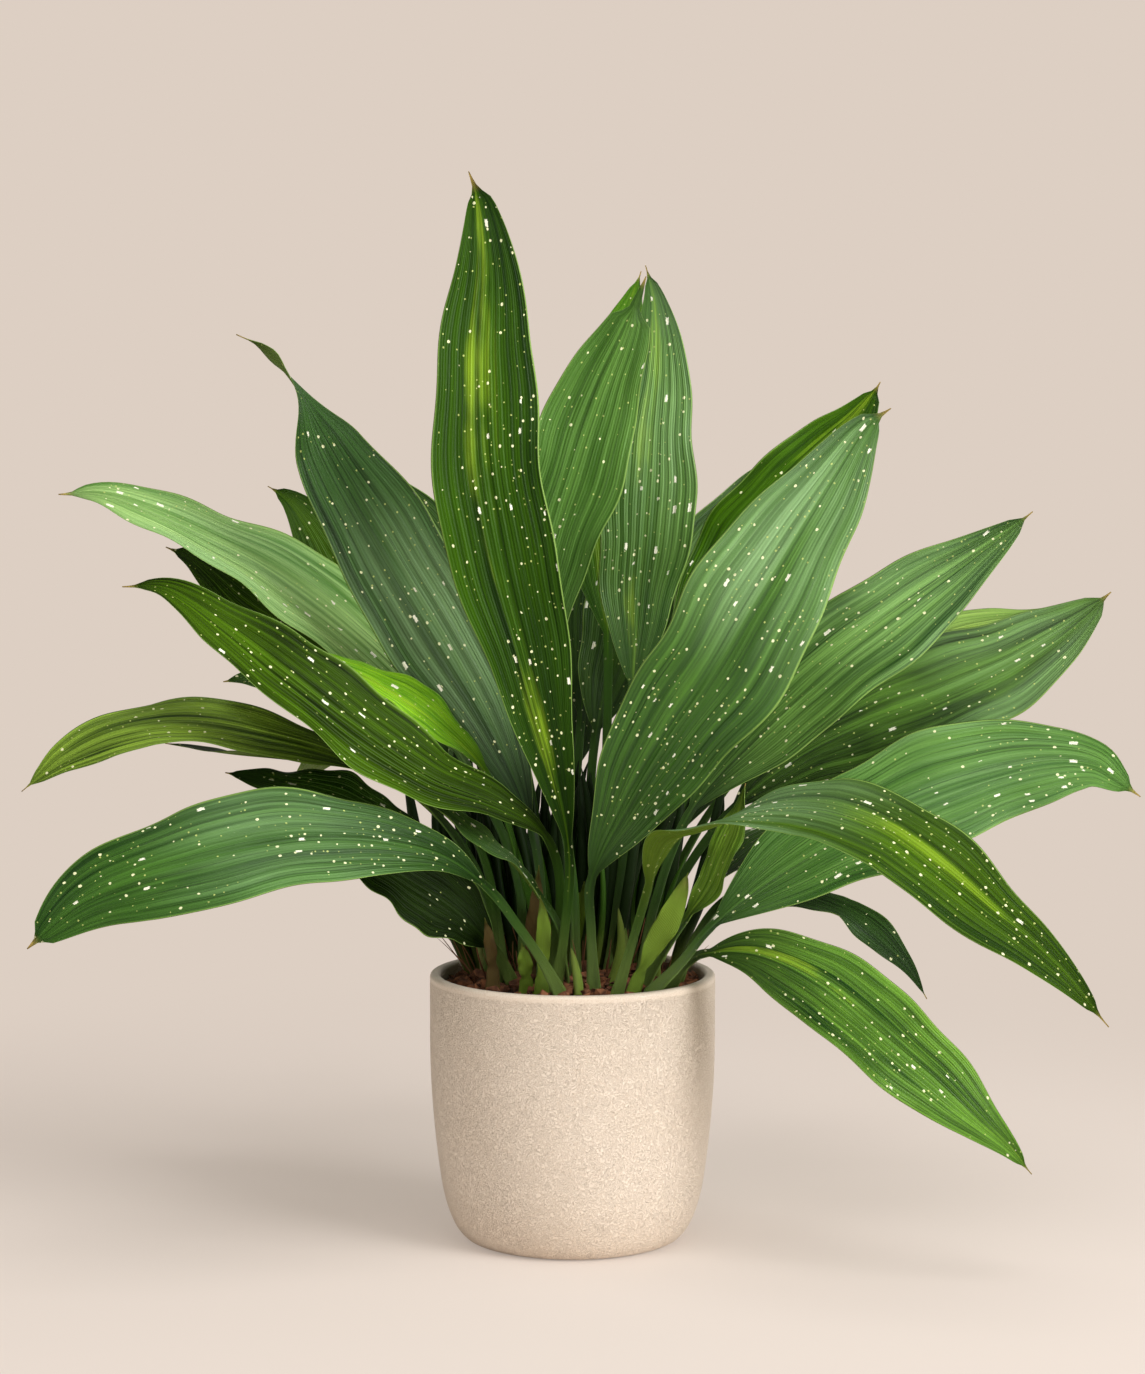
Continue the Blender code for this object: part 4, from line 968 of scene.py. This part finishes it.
def bark_piece(name, count, smallest, largest, flat):
    """Chips: small boxes with their corners knocked about, lying at all angles on the bed."""
    shape = bmesh.new()
    for _ in range(count):
        size = random.uniform(smallest, largest)
        made = bmesh.ops.create_cube(shape, size=1)["verts"]
        for vert in made:
            vert.co += Vector(random.uniform(-0.22, 0.22) for _ in range(3))
        radius = math.sqrt(random.random()) * (SOIL_EDGE_RADIUS - size * 0.75)
        turn = random.uniform(0, math.tau)
        lean = Matrix.Rotation(random.gauss(0, 0.35), 4, "X") @ Matrix.Rotation(random.gauss(0, 0.35), 4, "Y")
        spin = Matrix.Rotation(random.uniform(0, math.tau), 4, "Z")
        scale = Matrix.Diagonal((size, size * random.uniform(0.4, 0.8), size * flat, 1))
        height = bed_height(radius) + size * flat * random.uniform(0.2, 0.9)
        centre = radius * math.cos(turn), radius * math.sin(turn), height
        move = Matrix.Translation(centre) @ spin @ lean @ scale
        bmesh.ops.transform(shape, matrix=move, verts=made)
    bmesh.ops.recalc_face_normals(shape, faces=shape.faces)
    return as_object(name, shape)


def bark_paint(name, dark, light, spread):
    paint = Paint(name, Specular_IOR_Level=0.3)
    place = paint.node("TexCoord", out=3)
    tone = paint.ease(paint.noise(place, spread, 2.0), 0.35, 0.7)
    grain = paint.noise(place, 1600, 3.0)
    colour = paint.blend(tone * 0.7 + grain * 0.3, dark, light)
    return paint.finish(colour, 0.85 + grain * 0.1, grain, 0.0006)


settle(soil_piece(), "soil", bark_paint("soil", tint(24, 13, 8), tint(74, 46, 30), 300), "potting_soil")
settle(bark_piece("bark_chips", 460, 0.004, 0.011, 0.42), "soil",
       bark_paint("bark", tint(40, 22, 14), tint(160, 104, 70), 130))
settle(bark_piece("bark_crumbs", 1500, 0.0012, 0.0032, 0.7), "soil",
       bark_paint("crumbs", tint(36, 20, 12), tint(140, 92, 64), 400))
print("soil made")

# %% Rhizomes
RHIZOME_RADIUS, RHIZOME_RISE, RHIZOME_DEPTH = 0.0085, 0.09, 0.85  # it is nearly flat above, and round below
RHIZOME_SUNK = 0.0006
RHIZOME_DARK, RHIZOME_LIGHT = (0.060, 0.036, 0.018), (0.240, 0.165, 0.080)
RHIZOMES = {
    "rhizome_front": [(-2.6, -5.0), (-0.8, -6.1), (1.2, -5.7), (3.2, -6.1), (5.4, -5.0)],
    "rhizome_left": [(-5.6, -1.6), (-4.2, -2.6), (-2.2, -2.5), (-0.2, -2.4), (1.6, -2.6)],
    "rhizome_right": [(-1.6, 0.6), (0.6, 0.2), (3.0, 0.6), (5.0, -0.4), (6.4, -1.8)],
    "rhizome_back_left": [(-4.9, 1.4), (-4.2, 3.4), (-2.6, 4.9), (-0.6, 5.2), (0.4, 6.6)],
    "rhizome_back_right": [(1.0, 3.8), (2.6, 5.0), (4.2, 4.8), (5.6, 3.4)],
}


def rhizome_piece(name, path, count=120, around=24):
    """A lumpy root stock whose back just shows, ringed by the scars of old sheaths."""
    stations = even_stations(smooth_samples([Vector((x, y, SOIL_TOP / CM)) for x, y in path]), count)
    rings = []
    for i, (_, centre, distance) in enumerate(stations):
        along = (stations[min(i + 1, count)][1] - stations[max(i - 1, 0)][1]).normalized()
        side = along.cross(UP)
        end = min(i, count - i) / count
        scar = 0.05 * abs(math.sin(distance * 4.2))
        radius = RHIZOME_RADIUS * min(1, 0.5 + end * 6) * (0.90 + scar)
        ring = []
        for k in range(around):
            a = math.tau * k / around
            rise = RHIZOME_RISE if math.sin(a) > 0 else RHIZOME_DEPTH
            lift = UP * (radius * rise * math.sin(a) - RHIZOME_SUNK)
            ring.append(centre * CM + side * radius * math.cos(a) + lift)
        rings.append(ring)
    return skin("fine_" + name, rings)


for name, path in RHIZOMES.items():
    settle(rhizome_piece(name, path), "rhizome", bark_paint(name, RHIZOME_DARK, RHIZOME_LIGHT, 220), name)
print("rhizomes made")

# %% [markdown]
# ## The thicket at the foot
#
# Between the big leaves' stalks stands a dense crowd of young stalks, rolled shoots and the threads that old
# sheaths leave when they rot. One can hardly see through it. Each is a tapering tube along a random curve
# that leans outwards, and all of a kind are one object.

# %% The thicket
random.seed(11)
FEET, FEET_RADIUS, ROOTED = 7, 7.2, 0.3  # cm: where feet may stand, and how deep they go in
LEAST_LEAN = 0.2
# Lengths are in cm, but rise, over which the foot's colour turns into the top's, is in metres.
Kind = namedtuple("Kind", "count heights radii lean around rows taper forward slot foot top rise")


def strand(foot, lean, height, radius, around, rows, taper):
    """Rings of a tube that rises from a foot, in cm, and leans further out the higher it is."""
    bend = Vector((random.uniform(-1, 1), random.uniform(-1, 1), 0)) * height * 0.10
    rings = []
    for i in range(rows + 1):
        t = i / rows
        centre = foot + lean * (t ** 1.4) * height + UP * height * t + bend * math.sin(math.pi * t)
        size = radius * (1 - t ** taper) + 0.015
        rings.append([(centre + (RIGHT * math.cos(a) + BACK * math.sin(a)) * size) * CM
                      for a in (math.tau * k / around for k in range(around))])
    return rings


def crowd(kind):
    """Strands with their feet at random on the soil, behind a line across its front."""
    bodies = []
    while len(bodies) < kind.count:
        x, y = random.uniform(-FEET, FEET), random.uniform(kind.forward, FEET)
        if math.hypot(x, y) > FEET_RADIUS:
            continue
        lean = Vector((x, y, 0)) / FEET * random.uniform(LEAST_LEAN, kind.lean)
        foot = Vector((x, y, SOIL_TOP / CM - ROOTED))
        height, radius = random.uniform(*kind.heights), random.uniform(*kind.radii)
        bodies.append(strand(foot, lean, height, radius, kind.around, kind.rows, kind.taper))
    return bodies


def strand_paint(name, low, high, rise):
    paint = Paint(name, Specular_IOR_Level=0.15)
    place = paint.node("TexCoord", out=3)
    height = paint.outs(paint.node("SeparateXYZ", {0: place}), "Z")[0]
    mottle = paint.noise(place, 90, 3.0)
    colour = paint.blend(paint.ease(height + mottle * 0.02, SOIL_TOP + 0.01, SOIL_TOP + rise), low, high)
    return paint.finish(colour, 0.5 + mottle * 0.2, paint.noise(place, 700, 2.0), 0.0003)


KINDS = {
    # partly painted shade: the young stalks are real, but their near-black green upwards is the shade inside
    # the thicket
    "young_stalks": Kind(96, (10, 16.5), (0.24, 0.40), 0.36, 12, 14, 8.0, 0.8, "leaf_green",
                         tint(74, 88, 28), tint(16, 36, 1), 0.05),
    "green_stalks": Kind(16, (8, 14), (0.18, 0.28), 0.6, 12, 14, 5.0, -1.6, "leaf_green",
                         tint(118, 138, 56), tint(48, 84, 12), 0.06),
    "rolled_shoots": Kind(7, (3, 6), (0.22, 0.32), 0.3, 12, 12, 2.2, -2.0, "shoot",
                          tint(150, 150, 96), tint(96, 124, 48), 0.05),
    "sheath_threads": Kind(130, (1.2, 4.5), (0.03, 0.06), 0.9, 5, 8, 3.0, -2.5, "dry_sheath",
                           tint(84, 52, 34), tint(140, 98, 66), 0.05),
}
for name, kind in KINDS.items():
    settle(bundle(name, crowd(kind)), kind.slot, strand_paint(name, kind.foot, kind.top, kind.rise))
print("thicket made")

# %% [markdown]
# ## Floor, light and camera
#
# The setting is a plain, pale studio: a floor that fades into the backdrop, one broad soft lamp in front on
# the right, a weak one on the left and a weak one above. The key lamp is low enough to light the pot under
# the leaves. A portrait lens is used from about two metres away, a little above the leaves' middle.

# %% Studio
BACKDROP = tint(221, 207, 195)
FADE_FROM, FADE_TO = 0.45, 1.05  # the floor turns into the backdrop over these distances, in metres
# painted light: the floor glows with the backdrop's colour for the camera, and this glow lightens the plant's
# shadow on it
FLOOR_GLOW = 0.42  # the least share of the backdrop in the floor, for a soft and pale shadow
FLOOR_COLOUR = 0.840, 0.752, 0.685
AROUND_COLOUR, AROUND_LIGHT = (1.0, 0.93, 0.86, 1), 0.38
LIT_POINT = 0, 0, 0.3


def studio_floor():
    shape = bmesh.new()
    bmesh.ops.create_circle(shape, cap_ends=True, radius=40, segments=64)
    floor = as_object("studio_floor", shape)
    paint = Paint("studio_floor", Roughness=0.9, Specular_IOR_Level=0.1)
    place = paint.node("TexCoord", out=3)
    away = paint.node("VectorMath", {0: place}, operation="LENGTH", out=1)
    paint.finish(FLOOR_COLOUR)
    glow = paint.node("Emission", {0: BACKDROP, 1: 1.0})
    ray = paint.node("LightPath")
    fade = (paint.ease(away, FADE_FROM, FADE_TO) * (1 - FLOOR_GLOW) + FLOOR_GLOW) * ray
    both = paint.node("MixShader", {0: fade, 1: Wire(paint, paint.shader.outputs[0]), 2: glow})
    paint.tree.links.new(both.socket, paint.tree.nodes["Material Output"].inputs[0])
    floor.data.materials.append(paint.material)


def lamp(name, place, target, size, power):
    data = bpy.data.lights.new(name, "AREA")
    data.shape, data.size, data.energy = "DISK", size, power
    obj = bpy.data.objects.new(name, data)
    obj.location = place
    obj.rotation_euler = (Vector(target) - Vector(place)).to_track_quat("-Z", "Y").to_euler()
    scene.collection.objects.link(obj)


def surroundings():
    world = bpy.data.worlds.new("surroundings")
    world.use_nodes = True
    scene.world = world
    tree = world.node_tree
    seen, light = tree.nodes["Background"], tree.nodes.new("ShaderNodeBackground")
    seen.inputs[0].default_value = (*BACKDROP, 1)
    seen.inputs[1].default_value = 1.0
    light.inputs[0].default_value = AROUND_COLOUR
    light.inputs[1].default_value = AROUND_LIGHT
    path, mix = tree.nodes.new("ShaderNodeLightPath"), tree.nodes.new("ShaderNodeMixShader")
    tree.links.new(path.outputs["Is Camera Ray"], mix.inputs[0])
    tree.links.new(light.outputs[0], mix.inputs[1])
    tree.links.new(seen.outputs[0], mix.inputs[2])
    tree.links.new(mix.outputs[0], tree.nodes["World Output"].inputs[0])


studio_floor()
lamp("key", (2.5, -1.8, 1.45), LIT_POINT, 1.9, 112)
lamp("fill", (-2.0, -1.6, 1.3), LIT_POINT, 1.4, 10)
lamp("top", (0.3, -1.0, 2.7), LIT_POINT, 1.8, 26)
surroundings()
scene.view_settings.view_transform = "Standard"

# %% Camera
CAMERA_PITCH = math.radians(4.735)
camera_data = bpy.data.cameras.new("camera")
camera_data.lens = 85
camera_data.sensor_width = 36
camera = bpy.data.objects.new("camera", camera_data)
camera.location = (0, -2.14, 0.5457)
camera.rotation_euler = (math.pi / 2 - CAMERA_PITCH, 0, 0)
scene.collection.objects.link(camera)
scene.camera = camera

# %% Close
bpy.context.view_layer.update()
